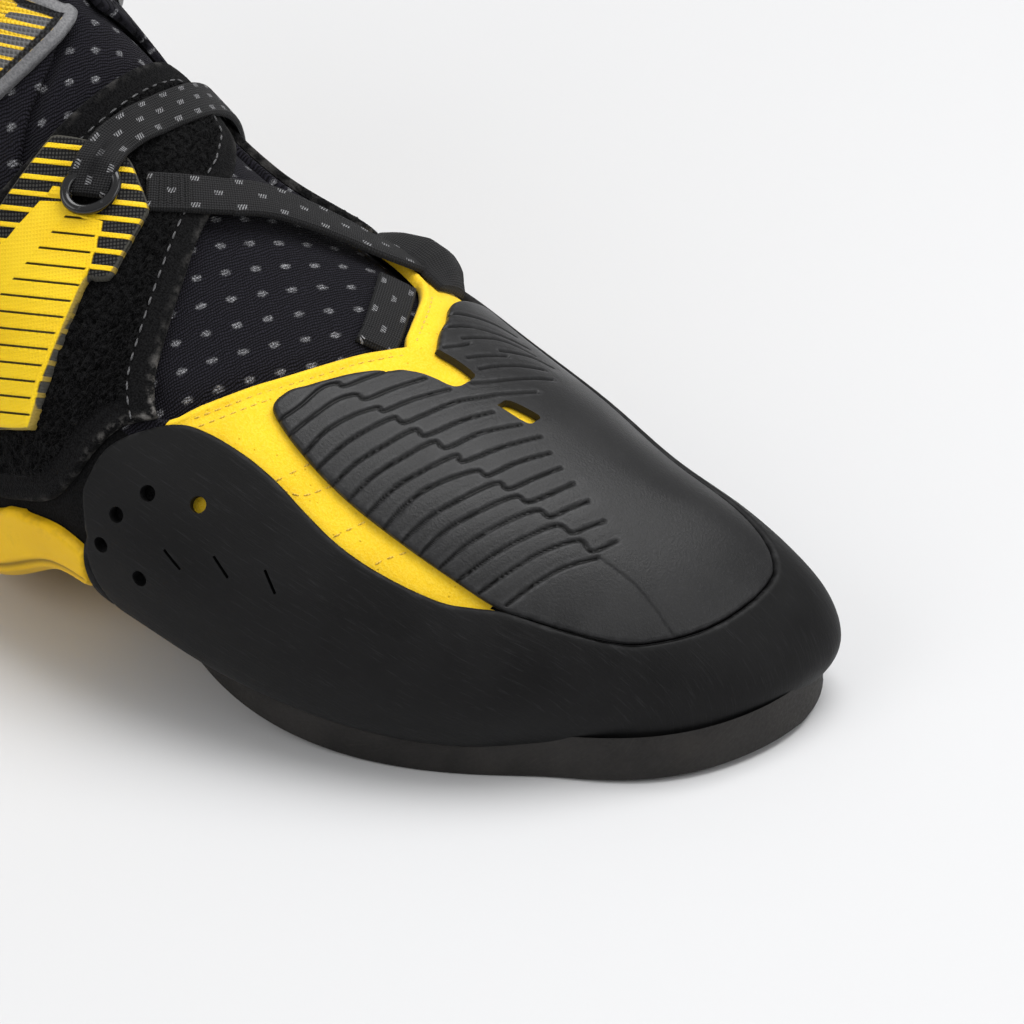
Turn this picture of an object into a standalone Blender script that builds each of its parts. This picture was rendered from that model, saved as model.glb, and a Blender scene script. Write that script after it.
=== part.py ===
"""Climbing shoe for the right foot. +X runs to the toe, +Y to the big-toe side, +Z up. Metres.

The origin is the centre of the heel's flat spot, on the surface that the shoe stands on.
A place on the shoe is (k, w): k is the section of the last, 0 under the toe and 21 at the collar,
and w goes round the section, 0 on top, 1 or -1 underneath, and negative on the little-toe side."""

import bpy
import bmesh
import numpy as np

# The last
LENGTH = 0.2325
HEIGHT = 0.105
BALL_WIDTH = 0.085
HEEL_REST_X = 0.037

# Walls and clearances
GAP = 0.0003
WALL = 0.0018
TONGUE_WALL = 0.0016
INSOLE_WALL = 0.0020
INSOLE_GAP = 0.0005
RAND_WALL = 0.0018
PATCH_WALL = 0.0014
CUP_WALL = 0.0018
QUARTER_WALL = 0.0014
TAB_WALL = 0.0018
WEBBING_WALL = 0.0011
WEBBING_WIDTH = 0.0075
SEAM_GAP = 0.0005
TONGUE_CROWN = 0.0011
EDGE_DROP = 0.4

# Sole
SOLE_MARGIN = 0.0008
SOLE_ROUND = 0.0005
HEEL_EDGE = 0.0042

# Holes and hardware
VENT_RADIUS = 0.00135
SLIT_LENGTH = 0.0042
SLIT_WIDTH = 0.0008
SLIT_TURN = -0.2
RING_LONG = 0.0103
RING_WIDE = 0.0084
RING_WIRE = 0.0017
LOOP_RISE = 0.0042
PULL_RISE = 0.0035
PULL_WIDTH = 0.010

# Heights of what lies on the last's surface
ON_QUARTER = 2 * GAP + QUARTER_WALL
ON_TAB = ON_QUARTER + TAB_WALL + GAP

# Facets
GIRTH_STEPS = 13
SEAM_STEPS = 45
SLOPE_STEP = 1e-3
DRILL = 0.006

# Each section is a closed curve between a point underneath and a point on top. Columns: x and z
# underneath, x and z on top, y underneath and on top, half width on the little-toe side and on the
# big-toe side, height of the widest point, fullness below it and above it. The x columns are shares of
# LENGTH from the heel's back, the z columns of HEIGHT, and the y and width columns of BALL_WIDTH.
LAST = np.array([
    [.938, .048, .942, .048, .100, .106, .007, .007, .50, 2.0, 2.0],
    [.912, .044, .978, .057, .076, .140, .200, .126, .45, 2.3, 2.1],
    [.895, .042, .992, .100, .053, .165, .282, .150, .40, 2.9, 2.0],
    [.877, .040, .982, .160, .053, .165, .329, .176, .35, 3.4, 1.95],
    [.856, .040, .957, .222, .041, .141, .376, .206, .32, 3.6, 1.9],
    [.826, .041, .920, .286, .018, .100, .435, .241, .30, 3.6, 1.9],
    [.787, .042, .866, .348, .000, .041, .476, .291, .30, 3.6, 1.9],
    [.735, .050, .802, .410, -.018, .006, .506, .347, .31, 3.6, 1.95],
    [.671, .075, .730, .467, -.035, -.024, .524, .388, .32, 3.6, 2.0],
    [.602, .118, .661, .524, -.053, -.041, .524, .412, .33, 3.6, 2.05],
    [.533, .142, .597, .586, -.065, -.059, .500, .412, .33, 3.8, 2.0],
    [.456, .050, .537, .662, -.065, -.065, .465, .394, .32, 4.0, 2.0],
    [.374, .052, .485, .740, -.053, -.053, .412, .365, .34, 3.4, 2.0],
    [.288, .055, .452, .805, -.041, -.041, .388, .365, .34, 3.0, 2.0],
    [.202, .058, .426, .850, -.029, -.024, .371, .362, .32, 2.7, 2.0],
    [.116, .064, .409, .876, -.012, -.012, .359, .353, .30, 2.4, 2.0],
    [.039, .133, .396, .895, .000, .000, .353, .347, .32, 2.1, 2.0],
    [.000, .314, .387, .914, .000, .000, .341, .341, .38, 2.1, 2.0],
    [.004, .495, .379, .933, .000, .000, .341, .341, .45, 2.1, 2.0],
    [.022, .648, .372, .952, .000, .000, .341, .347, .50, 2.1, 2.0],
    [.022, .800, .366, .976, .000, .000, .353, .353, .50, 2.1, 2.0],
    [.009, .933, .361, 1.00, .000, .000, .365, .365, .50, 2.1, 2.0],
])
COLLAR = len(LAST) - 1

# The section where the tongue starts to rise between the upper's edges
TONGUE_RISE = 8.5

# Shares of half the way round: how far the tongue reaches under the upper's edges, how far the
# insole's step stays inside the upper's opening, and the step's own slope
TONGUE_TUCK = .055
INSOLE_INSET = .03
INSOLE_LIP = .008

# Outlines, each a short row of (k, w)
THROAT_LATERAL = [(8.3, 0), (8.5, -.04), (8.82, -.127), (9.14, -.195), (9.46, -.275), (10.2, -.285),
                  (11.2, -.27), (12.4, -.24), (13.3, -.17), (14, -.08), (15, -.05), (21, -.05)]
THROAT_MEDIAL = [(8.3, 0), (8.45, .05), (8.7, .115), (9.1, .18), (9.8, .22), (11, .22), (12.4, .20),
                 (13.3, .15), (14, .08), (15, .05), (21, .05)]
INSOLE_EDGE = [(1.2, .10), (2, .19), (3, .24), (5, .26), (9, .25), (12, .26), (14.6, .28), (15.5, .22)]
SOLE_OPENING = [(1.4, 0), (2.1, .09), (3, .13), (5, .15), (7.2, .14), (8.1, .09), (8.9, 0)]
FEATHER = [(1.3, 0), (1.36, .12), (1.5, .25), (1.85, .41), (2.4, .55), (3.2, .63), (4.2, .67), (5.6, .70),
           (7, .72), (8, .74), (8.6, .77), (9.1, .83), (9.4, .92)]
RAND_SEAM = [(9.90, -.43), (9.90, -.36), (9.64, -.303), (9.3, -.268), (8.84, -.255), (8.24, -.258), (7.55, -.284),
             (7.0, -.294), (6.4, -.289), (5.9, -.265), (5.23, -.262), (4.45, -.243), (3.99, -.175),
             (3.88, -.098), (3.95, -.02), (4.25, .06), (4.8, .125), (5.6, .18), (6.5, .22), (7.5, .26),
             (8.5, .30), (9.3, .345), (9.8, .42)]
RAND_UNDER = [(9.2, -.62), (9.1, -.75), (8.5, -.80), (7.6, -.81), (6.4, -.81), (5.2, -.80), (4.2, -.79), (3.4, -.76),
              (2.7, -.70), (2.0, -.58), (1.45, -.42), (1.1, -.22), (1.0, 0), (1.1, .22), (1.45, .42), (2.0, .58),
              (2.7, .70), (3.4, .76), (4.4, .79), (5.8, .80), (7.4, .81), (8.6, .79), (9.1, .64)]
SEAM_CORNERS = (9, 17, 20)
PATCH_LATERAL = [(8.87, -.170), (8.62, -.19), (8.36, -.203), (7.67, -.228), (7.0, -.252), (6.4, -.262)]
PATCH_REAR = [(8.87, -.170), (8.74, -.095), (8.32, -.035), (8.18, .03), (8.42, .09), (8.57, .15), (8.57, .21)]
CUP_LATERAL = [(9.62, -.515), (10.3, -.502), (11, -.502), (12, -.525), (13, -.55), (14.2, -.55), (15.4, -.55),
               (16.6, -.58), (17.6, -.66), (18.4, -.80)]
CUP_MEDIAL = [(9.98, -1.47), (11, -1.475), (12, -1.46), (13, -1.44), (14.2, -1.44), (15.4, -1.45), (16.6, -1.42),
              (17.6, -1.34), (18.4, -1.20)]
CUP_FRONT = [(9.62, -.515), (9.52, -.62), (9.58, -.76), (9.68, -.9), (9.7, -1.0), (9.68, -1.1), (9.58, -1.24),
             (9.6, -1.36), (9.98, -1.47)]
CUP_REAR = [(18.4, -.80), (18.75, -.90), (18.85, -1.0), (18.75, -1.10), (18.4, -1.20)]
FLAP_FRONT = [(9.66, -.283), (9.92, -.25), (10.15, -.193), (10.41, -.125), (10.66, -.057), (10.94, .05)]
FLAP_REAR = [(13.4, -.535), (13.15, -.42), (12.95, -.32), (12.8, -.22), (12.76, -.05), (12.64, .10)]
FLAP_LOWER = [(9.66, -.283), (9.98, -.34), (10.05, -.41), (10.25, -.475), (10.9, -.488), (12, -.51), (13.4, -.535)]
FLAP_UPPER = [(10.94, .05), (11.3, .12), (11.8, .15), (12.3, .15), (12.64, .10)]
MEDIAL_FRONT = [(9.95, .37), (9.85, .31), (9.95, .245)]
MEDIAL_REAR = [(13.4, .53), (13.1, .40), (12.9, .24)]
MEDIAL_LOWER = [(9.95, .37), (10.12, .46), (10.9, .51), (12.2, .52), (13.4, .53)]
MEDIAL_UPPER = [(9.95, .245), (10.8, .24), (11.9, .235), (12.9, .24)]
TAB_FRONT = [(10.86, -.41), (10.95, -.33), (11.10, -.25), (10.99, -.19), (11.12, -.115)]
TAB_REAR = [(12.4, -.44), (12.5, -.35), (12.57, -.25), (12.65, -.15)]
TAB_LOWER = [(10.86, -.41), (11.2, -.43), (11.8, -.44), (12.4, -.44)]
TAB_UPPER = [(11.12, -.115), (11.35, -.083), (11.8, -.077), (12.3, -.10), (12.65, -.15)]
ANKLE_FRONT = [(14.3, -.42), (13.98, -.30), (13.95, -.17), (14.2, -.09)]
ANKLE_REAR = [(19.5, -.42), (19.6, -.30), (19.7, -.17), (20.2, -.09)]
ANKLE_LOWER = [(14.3, -.42), (16.3, -.43), (18.3, -.43), (19.5, -.42)]
ANKLE_UPPER = [(14.2, -.09), (16.4, -.075), (18.4, -.075), (20.2, -.09)]
RING_PLACE = (11.74, -.145)
WEBBING_UPPER = [(11.79, -.055), (11.93, 0), (12.02, .08), (12.05, .17), (12, .26), (11.9, .35)]
WEBBING_MIDDLE = [(11.0, -.07), (10.75, -.02), (10.4, .03), (9.9, .09), (9.5, .15), (9.28, .21), (9.18, .275)]
WEBBING_LOWER = [(8.70, -.02), (8.79, .02), (8.9, .065), (9.0, .105)]
GUIDE_LOOP = [(8.80, .225), (8.95, .23), (9.15, .24), (9.35, .245), (9.6, .245), (9.8, .24)]
NOTCH = [(8.35, -.03), (7.86, -.034), (7.79, -.022), (7.76, .018), (7.84, .026), (8.35, .035)]
DIAMOND = [(7.42, -.014), (7.38, .006), (7.10, .013), (7.07, -.004), (7.12, -.014)]
PULL_LOOP = [(19.05, 1), (19.5, 1), (20, 1), (20.4, 1), (20.8, 1)]
RAND_REACH = [(0, 0), (1, 0), (1.6, .30), (2.4, .24), (3.3, .16), (4.2, .12), (8.9, .12), (9.2, .14), (9.4, .3)]
SOLE_LIFT = [(0, .010), (1.3, .012), (2.2, .006), (3.3, 0), (6.3, 0), (7, .004), (7.6, .018), (8.2, .042),
             (8.8, .068), (9.4, .098)]
VENTS = [(9.26, -.370), (8.77, -.335), (9.42, -.425), (9.46, -.485), (8.93, -.488)]
SLITS = [(8.73, -.422), (8.27, -.390), (7.81, -.367)]


def curve(points, count):
    """Points evenly spread along a smooth curve through the given ones, ends kept."""
    p = np.array(points, float)
    p = np.vstack([2 * p[0] - p[1], p, 2 * p[-1] - p[-2]])
    steps = np.linspace(0, len(points) - 1, count)
    i = np.minimum(steps.astype(int), len(points) - 2)
    f = (steps - i)[:, None]
    a, b, c, d = p[i], p[i + 1], p[i + 2], p[i + 3]
    return 0.5 * (2 * b + (c - a) * f + (2 * a - 5 * b + 4 * c - d) * f ** 2 + (3 * b - a - 3 * c + d) * f ** 3)


def width_at(outline, k):
    """The w of an outline at section k."""
    p = curve(outline, 12 * len(outline))
    return np.interp(k, p[:, 0], p[:, 1])


def section(k):
    """The last's table at any k, joined smoothly, with the ends held."""
    rows = np.vstack([2 * LAST[0] - LAST[1], LAST, 2 * LAST[-1] - LAST[-2]])
    k = np.clip(k, 0, COLLAR)
    i = np.minimum(k.astype(int), COLLAR - 1)
    f = (k - i)[..., None]
    a, b, c, d = rows[i], rows[i + 1], rows[i + 2], rows[i + 3]
    mixed = 0.5 * (2 * b + (c - a) * f + (2 * a - 5 * b + 4 * c - d) * f ** 2 + (3 * b - a - 3 * c + d) * f ** 3)
    return np.moveaxis(mixed, -1, 0)


def on_last(k, w):
    """The point of the last's surface at (k, w)."""
    k, w = np.broadcast_arrays(np.asarray(k, float), np.asarray(w, float))
    xb, zb, xt, zt, yb, yt, lateral, medial, middle, low, high = section(k)
    w = (w + 1) % 2 - 1
    turn = np.abs(w) * np.pi
    c, s = np.cos(turn), np.abs(np.sin(turn))
    fullness = np.where(c >= 0, high, low)
    reach = np.abs(c) ** (2 / fullness)
    t = np.where(c >= 0, middle + (1 - middle) * reach, middle - middle * reach)
    half = np.where(w < 0, -lateral, medial) * s ** (2 / fullness)
    x = (xb + (xt - xb) * t) * LENGTH - HEEL_REST_X
    y = (yb + (yt - yb) * t + half) * BALL_WIDTH
    z = (zb + (zt - zb) * t) * HEIGHT
    return np.stack([x, y, z], axis=-1)


def outward(k, w):
    """The unit normal of the last's surface."""
    k = np.clip(np.asarray(k, float), SLOPE_STEP, COLLAR - SLOPE_STEP)
    along = on_last(k + SLOPE_STEP, w) - on_last(k - SLOPE_STEP, w)
    across = on_last(k, w + SLOPE_STEP) - on_last(k, w - SLOPE_STEP)
    normal = np.cross(across, along)
    return normal / np.maximum(np.linalg.norm(normal, axis=-1, keepdims=True), 1e-12)


def skin(k, w, height):
    """The last's surface moved out by a height."""
    return on_last(k, w) + outward(k, w) * np.asarray(height)[..., None]


def pole(height):
    """The one point that the last's sections close on, under the toe."""
    w = np.linspace(-1, 1, 2 * GIRTH_STEPS, endpoint=False)
    return skin(np.zeros(w.shape), w, np.full(w.shape, height)).mean(axis=0)


def facet_lift(k, w, sense=1):
    """How far flat facets between these places would sink into a rounded surface under them.

    With sense -1, how far they would stand out of a hollow one."""
    points = on_last(k, w)
    normal = outward(k, w)
    lift = np.zeros(k.shape)
    for near, far in (((slice(None, -1), slice(None)), (slice(1, None), slice(None))),
                      ((slice(None), slice(None, -1)), (slice(None), slice(1, None))),
                      ((slice(None, -1), slice(None, -1)), (slice(1, None), slice(1, None))),
                      ((slice(1, None), slice(None, -1)), (slice(None, -1), slice(1, None)))):
        true = on_last((k[near] + k[far]) / 2, (w[near] + w[far]) / 2)
        sink = ((true - (points[near] + points[far]) / 2) * (normal[near] + normal[far]) / 2).sum(-1) * sense
        lift[near] = np.maximum(lift[near], sink)
        lift[far] = np.maximum(lift[far], sink)
    return lift


def patch(lateral, medial, rear, front, along, across):
    """A grid of (k, w) inside four outlines, each corner shared by two of them."""
    t, s = np.linspace(0, 1, along)[:, None, None], np.linspace(0, 1, across)[None, :, None]
    a, b = curve(lateral, along)[:, None], curve(medial, along)[:, None]
    r, f = curve(rear, across)[None], curve(front, across)[None]
    corners = (1 - s) * ((1 - t) * a[0] + t * a[-1]) + s * ((1 - t) * b[0] + t * b[-1])
    return np.moveaxis((1 - s) * a + s * b + (1 - t) * r + t * f - corners, -1, 0)


def sidestep(places, distance):
    """An outline of (k, w) moved sideways on the surface by a real distance."""
    k, w = places[:, 0], places[:, 1]
    point = on_last(k, w)
    heading = np.gradient(point, axis=0)
    side = np.cross(outward(k, w), heading)
    side /= np.linalg.norm(side, axis=-1, keepdims=True)
    along = (on_last(k + SLOPE_STEP, w) - on_last(k - SLOPE_STEP, w)) / (2 * SLOPE_STEP)
    across = (on_last(k, w + SLOPE_STEP) - on_last(k, w - SLOPE_STEP)) / (2 * SLOPE_STEP)
    moved = []
    for place, dk, dw, way in zip(places, along, across, side):
        step = np.linalg.lstsq(np.stack([dk, dw], axis=1), way * distance, rcond=None)[0]
        moved.append(place + step)
    return np.array(moved)


def finish(name, colour, roughness, mesh_bm, holes=None):
    """Turns a bmesh into the named object with its own material."""
    bmesh.ops.remove_doubles(mesh_bm, verts=mesh_bm.verts, dist=1e-6)
    bmesh.ops.recalc_face_normals(mesh_bm, faces=mesh_bm.faces)
    mesh = bpy.data.meshes.new(name)
    mesh_bm.to_mesh(mesh)
    mesh_bm.free()
    obj = bpy.data.objects.new(name, mesh)
    bpy.context.scene.collection.objects.link(obj)
    material = bpy.data.materials.new(name + "_finish")
    material.use_nodes = True
    shader = material.node_tree.nodes["Principled BSDF"]
    shader.inputs["Base Color"].default_value = (*colour, 1)
    shader.inputs["Roughness"].default_value = roughness
    mesh.materials.append(material)
    mesh.shade_smooth()
    mesh.set_sharp_from_angle(angle=0.7)
    if holes:
        cut = obj.modifiers.new("cut", "BOOLEAN")
        cut.object = holes
        cut.operation = "DIFFERENCE"
        cut.solver = "EXACT"
    return obj


def add_sheet(mesh_bm, low, high, first=None, last=None, ends=(True, True)):
    """Adds the solid between two grids. first and last say, for each step along, whether the grid's edge is open."""
    rows, columns = low.shape[:2]
    first = np.ones(rows - 1, bool) if first is None else first
    last = np.ones(rows - 1, bool) if last is None else last
    below = [[mesh_bm.verts.new(p) for p in row] for row in low]
    above = [[mesh_bm.verts.new(p) for p in row] for row in high]
    for i in range(rows - 1):
        for j in range(columns - 1):
            mesh_bm.faces.new((above[i][j], above[i + 1][j], above[i + 1][j + 1], above[i][j + 1]))
            mesh_bm.faces.new((below[i][j], below[i][j + 1], below[i + 1][j + 1], below[i + 1][j]))
        for column, is_open in ((0, first[i]), (columns - 1, last[i])):
            if is_open:
                mesh_bm.faces.new((above[i][column], above[i + 1][column], below[i + 1][column], below[i][column]))
    for row, is_open in ((0, ends[0]), (rows - 1, ends[1])):
        for j in range(columns - 1):
            if is_open:
                mesh_bm.faces.new((above[row][j], above[row][j + 1], below[row][j + 1], below[row][j]))


def overlay(name, grid, base, wall, colour, roughness, holes=None):
    """A piece laid on the last over a grid of (k, w): its underside at height base, its edges thinned."""
    k, w = grid
    along, across = k.shape
    edge = np.ones(k.shape)
    edge[[0, -1], :] = 1 - EDGE_DROP
    edge[:, [0, -1]] = 1 - EDGE_DROP
    lift = facet_lift(k, w)
    low = skin(k, w, base + lift)
    high = skin(k, w, base + wall * edge - facet_lift(k, w, -1))
    mesh_bm = bmesh.new()
    add_sheet(mesh_bm, low, high)
    return finish(name, colour, roughness, mesh_bm, holes)


def cutter(name, outlines):
    """Prisms through the surface in one helper object, each from an outline given as points."""
    mesh_bm = bmesh.new()
    for outline in outlines:
        centre = np.mean(outline, axis=0)
        side = np.cross(outline[1] - outline[0], outline[2] - outline[1])
        axis = side / np.linalg.norm(side)
        flat = [p - axis * np.dot(p - centre, axis) - axis * DRILL for p in outline]
        face = mesh_bm.faces.new([mesh_bm.verts.new(p) for p in flat])
        raised = bmesh.ops.extrude_face_region(mesh_bm, geom=[face])["geom"]
        ends = [v for v in raised if isinstance(v, bmesh.types.BMVert)]
        bmesh.ops.translate(mesh_bm, vec=axis * 2 * DRILL, verts=ends)
    bmesh.ops.recalc_face_normals(mesh_bm, faces=mesh_bm.faces)
    mesh = bpy.data.meshes.new(name)
    mesh_bm.to_mesh(mesh)
    mesh_bm.free()
    obj = bpy.data.objects.new(name, mesh)
    obj.hide_render = True
    obj.display_type = "WIRE"
    bpy.context.scene.collection.objects.link(obj)
    return obj


def surface_axes(k, w):
    """A point on the surface with the direction to the collar, the direction across and the normal."""
    normal = outward(k, w)
    along = on_last(k + SLOPE_STEP, w) - on_last(k - SLOPE_STEP, w)
    along /= np.linalg.norm(along)
    return on_last(k, w), along, np.cross(normal, along), normal


def rounded_slot(k, w, length, width, turn, corners=10):
    """The outline of a round-ended slot on the surface. Equal length and width give a circle."""
    point, along, across, _ = surface_axes(k, w)
    angle = np.arange(corners) * 2 * np.pi / corners + np.pi / corners
    straight = (length - width) / 2 * np.sign(np.cos(angle))
    u, v = np.cos(angle) * width / 2 + straight, np.sin(angle) * width / 2
    u, v = u * np.cos(turn) - v * np.sin(turn), u * np.sin(turn) + v * np.cos(turn)
    return point + u[:, None] * along + v[:, None] * across


def make_upper():
    k = np.array([0, .4, .8, 1.1, 1.4, 1.8, 2.3, 2.9, 3.5, 4.2, 5, 5.8, 6.6, 7.5, 8.3, 8.5, 8.78, 9.1, 9.45, 10,
                  10.6, 11.3, 12, 12.7, 13.4, 14.1, 14.8, 15.5, 16.2, 16.9, 17.6, 18.4, 19.3, 20.2, 21])
    share = np.linspace(0, 1, GIRTH_STEPS + 1)[None]
    opening = np.clip(width_at(SOLE_OPENING, k), 0, None)
    opening[(k <= SOLE_OPENING[0][0]) | (k >= SOLE_OPENING[-1][0])] = 0
    joined = k <= THROAT_LATERAL[0][0]
    mesh_bm = bmesh.new()
    for outline, side in ((THROAT_LATERAL, -1), (THROAT_MEDIAL, 1)):
        edge = width_at(outline, k)
        w = edge[:, None] * (1 - share) + side * (1 - opening[:, None]) * share
        kk = np.repeat(k[:, None], GIRTH_STEPS + 1, axis=1)
        lift, bulge = facet_lift(kk, w), facet_lift(kk, w, -1)
        for height, sense in ((lift, 1), (bulge, -1)):
            height[joined, :1] = facet_lift(kk[:, :1], np.full((len(k), 1), THROAT_LATERAL[0][1]), sense)[joined]
            height[:, -1:] = facet_lift(kk[:, -1:], np.ones((len(k), 1)), sense)
        high, low = skin(kk, w, -bulge), skin(kk, w, lift - WALL)
        high[0], low[0] = pole(0), pole(-WALL)
        sole_open = (opening[:-1] > 0) | (opening[1:] > 0)
        add_sheet(mesh_bm, low, high, first=~joined[1:], last=sole_open, ends=(False, True))
    return finish("upper", (.86, .58, .02), .75, mesh_bm)


def clear_scene():
    for obj in list(bpy.data.objects):
        bpy.data.objects.remove(obj, do_unlink=True)


def tongue_top(k):
    """The height of the tongue's upper side along its middle."""
    return TONGUE_CROWN * np.clip(k - TONGUE_RISE, 0, 1) - (WALL + 1.6 * GAP)


def make_tongue():
    k = np.array([7.6, 8, 8.4, 8.75, 9.1, 9.6, 10.1, 10.7, 11.3, 12, 12.7, 13.4, 14.1, 14.8, 15.6, 16.6, 17.8, 19.2, 20.95])
    start, end = width_at(THROAT_LATERAL, k) - TONGUE_TUCK, width_at(THROAT_MEDIAL, k) + TONGUE_TUCK
    share = np.linspace(0, 1, 11)[None]
    w = start[:, None] * (1 - share) + end[:, None] * share
    kk = np.repeat(k[:, None], share.size, axis=1)
    inside = np.clip(np.minimum(w - start[:, None], end[:, None] - w) / TONGUE_TUCK - 1.3, 0, 1)
    top = tongue_top(kk) - (1 - inside) * (tongue_top(kk) - tongue_top(0)) - facet_lift(kk, w, -1)
    mesh_bm = bmesh.new()
    add_sheet(mesh_bm, skin(kk, w, top - TONGUE_WALL), skin(kk, w, top))
    return finish("tongue", (.02, .02, .03), .9, mesh_bm)


def make_insole():
    """The board inside: it lies on the upper's floor, and its middle drops into the upper's opening."""
    k = np.array([1.2, 1.6, 2.1, 2.5, 2.6, 3.3, 4.2, 5.2, 6.2, 7.2, 8.1, 8.2, 9, 10, 11, 12, 13, 14, 14.8, 15.5])
    half = width_at(INSOLE_EDGE, k)[:, None]
    reach = np.clip(width_at(SOLE_OPENING, k) - INSOLE_INSET, 0, None)[:, None]
    share = np.array([-1, -.62, -.42, -.4, -.2, 0, .2, .4, .42, .62, 1])[None]
    kk = np.repeat(k[:, None], share.size, axis=1)
    size = np.abs(share)
    inner = (size < .5) & (kk > 2.3) & (kk < 8.3)
    lip = reach * np.minimum(size / .4, 1) + INSOLE_LIP * (size > .4)
    w = 1 + np.sign(share) * np.where(inner, lip, size * half)
    dropped = (size < .41) & (kk > 2.55) & (kk < 8.15)
    top = -(WALL + INSOLE_GAP + INSOLE_WALL) * np.ones(kk.shape)
    under = np.where(dropped, -GAP, -(WALL + INSOLE_GAP)) - facet_lift(kk, w, -1)
    mesh_bm = bmesh.new()
    add_sheet(mesh_bm, skin(kk, w, under), skin(kk, w, top))
    return finish("insole", (.25, .24, .22), .95, mesh_bm)


def make_rand(holes):
    """The rubber round the toe, from wing to wing, between the seam and the line under the foot."""
    top = sidestep(curve(RAND_SEAM, SEAM_STEPS), -SEAM_GAP / 2)
    under = curve(RAND_UNDER, SEAM_STEPS)
    share = np.linspace(0, 1, 6)[None, :, None]
    grid = np.moveaxis(top[:, None] * (1 - share) + under[:, None] * share, -1, 0)
    return overlay("rand", grid, GAP, RAND_WALL, (.012, .012, .013), .6, holes)


def make_toe_patch(holes):
    """The patch over the toes. In front and on the big-toe side it follows the rand's seam."""
    seam = sidestep(curve(RAND_SEAM, SEAM_STEPS), SEAM_GAP / 2)
    start, turn, end = (2 * i for i in SEAM_CORNERS)
    lateral = np.vstack([PATCH_LATERAL, seam[start]])
    rear = np.vstack([PATCH_REAR, seam[end]])
    grid = patch(lateral, seam[turn:end + 1][::-1], rear, seam[start:turn + 1], 13, turn - start + 1)
    return overlay("toe_patch", grid, GAP, PATCH_WALL, (.02, .02, .022), .45, holes)


def make_outsole():
    k = np.array([0, .65, 1.3, 1.36, 1.46, 1.6, 1.8, 2.1, 2.5, 3, 3.6, 4.2, 5, 5.8, 6.5, 7.2, 7.8, 8.3, 8.8, 9.15, 9.4])
    edge = np.where(k > FEATHER[0][0], width_at(FEATHER, k), 0)
    share = np.array([0, .1, .2, .30, .42, .5, .58, .70, .8, .9, 1])[None]
    v = -edge[:, None] * (1 - share) + (edge[:, None] - 2) * share
    kk = np.repeat(k[:, None], share.size, axis=1)
    under_rand = np.abs(v + 1) > width_at(RAND_REACH, k)[:, None]
    lift = facet_lift(kk, v)
    tip = k <= FEATHER[0][0]
    lift[tip, 0] = lift[tip, -1] = np.maximum(lift[tip, 0], lift[tip, -1])
    top = skin(kk, v, np.where(under_rand, 2 * GAP + RAND_WALL, GAP) + lift)
    top[0] = pole(2 * GAP + RAND_WALL)
    flare = outward(kk, v)[..., :2]
    flare /= np.linalg.norm(flare, axis=-1, keepdims=True)
    for column in (0, -1):
        top[2:, column, :2] += flare[2:, column] * SOLE_MARGIN
    bottom = top.copy()
    bottom[..., 2] = (width_at(SOLE_LIFT, k) * HEIGHT)[:, None]
    bottom[2:, [0, -1], 2] += SOLE_ROUND
    is_open = k[1:] > FEATHER[0][0]
    mesh_bm = bmesh.new()
    add_sheet(mesh_bm, bottom, top, first=is_open, last=is_open, ends=(False, True))
    return finish("outsole", (.03, .03, .032), .7, mesh_bm)


def make_heel_sole():
    k = np.array([13, 13.15, 13.5, 14, 14.4, 14.8, 15.2, 15.5, 15.75, 15.9])
    half = width_at([(13, .10), (13.3, .165), (14, .205), (15, .215), (15.5, .185), (15.9, .09)], k)
    share = np.linspace(-1, 1, 9)[None]
    v = -1 + share * half[:, None]
    kk = np.repeat(k[:, None], share.size, axis=1)
    height = 2 * GAP + CUP_WALL + facet_lift(kk, v)
    top, bottom = skin(kk, v, height), skin(kk, v, height + HEEL_EDGE)
    bottom[..., 2] = np.maximum(bottom[..., 2], 0)
    mesh_bm = bmesh.new()
    add_sheet(mesh_bm, bottom, top)
    return finish("heel_sole", (.03, .03, .032), .7, mesh_bm)


def make_ribbon(name, path, heights, along, width=WEBBING_WIDTH, colour=(.03, .03, .033)):
    """A flat strap on the surface: path is its middle line, heights its underside along the path."""
    middle = curve(path, along)
    grid = np.stack([sidestep(middle, width / 2), middle, sidestep(middle, -width / 2)], axis=1)
    base = np.interp(np.linspace(0, 1, along), np.linspace(0, 1, len(heights)), heights)
    return overlay(name, np.moveaxis(grid, -1, 0), base[:, None], WEBBING_WALL, colour, .85)


def make_ring():
    point, along, across, normal = surface_axes(*RING_PLACE)
    centre = point + normal * (ON_TAB + RING_WIRE / 2)
    data = bpy.data.curves.new("tab_ring", "CURVE")
    data.dimensions = "3D"
    data.bevel_depth = RING_WIRE / 2
    data.bevel_resolution = 2
    spline = data.splines.new("POLY")
    turns = np.arange(24) * 2 * np.pi / 24
    spline.points.add(len(turns) - 1)
    for end, turn in zip(spline.points, turns):
        u, v = np.cos(turn) * (RING_WIDE - RING_WIRE) / 2, np.sin(turn) * (RING_LONG - RING_WIRE) / 2
        end.co = (*(centre + along * u + across * v), 1)
    spline.use_cyclic_u = True
    obj = bpy.data.objects.new("tab_ring", data)
    bpy.context.scene.collection.objects.link(obj)
    material = bpy.data.materials.new("tab_ring_finish")
    material.use_nodes = True
    shader = material.node_tree.nodes["Principled BSDF"]
    shader.inputs["Base Color"].default_value = (.01, .01, .012, 1)
    shader.inputs["Roughness"].default_value = .25
    data.materials.append(material)
    return obj


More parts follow.
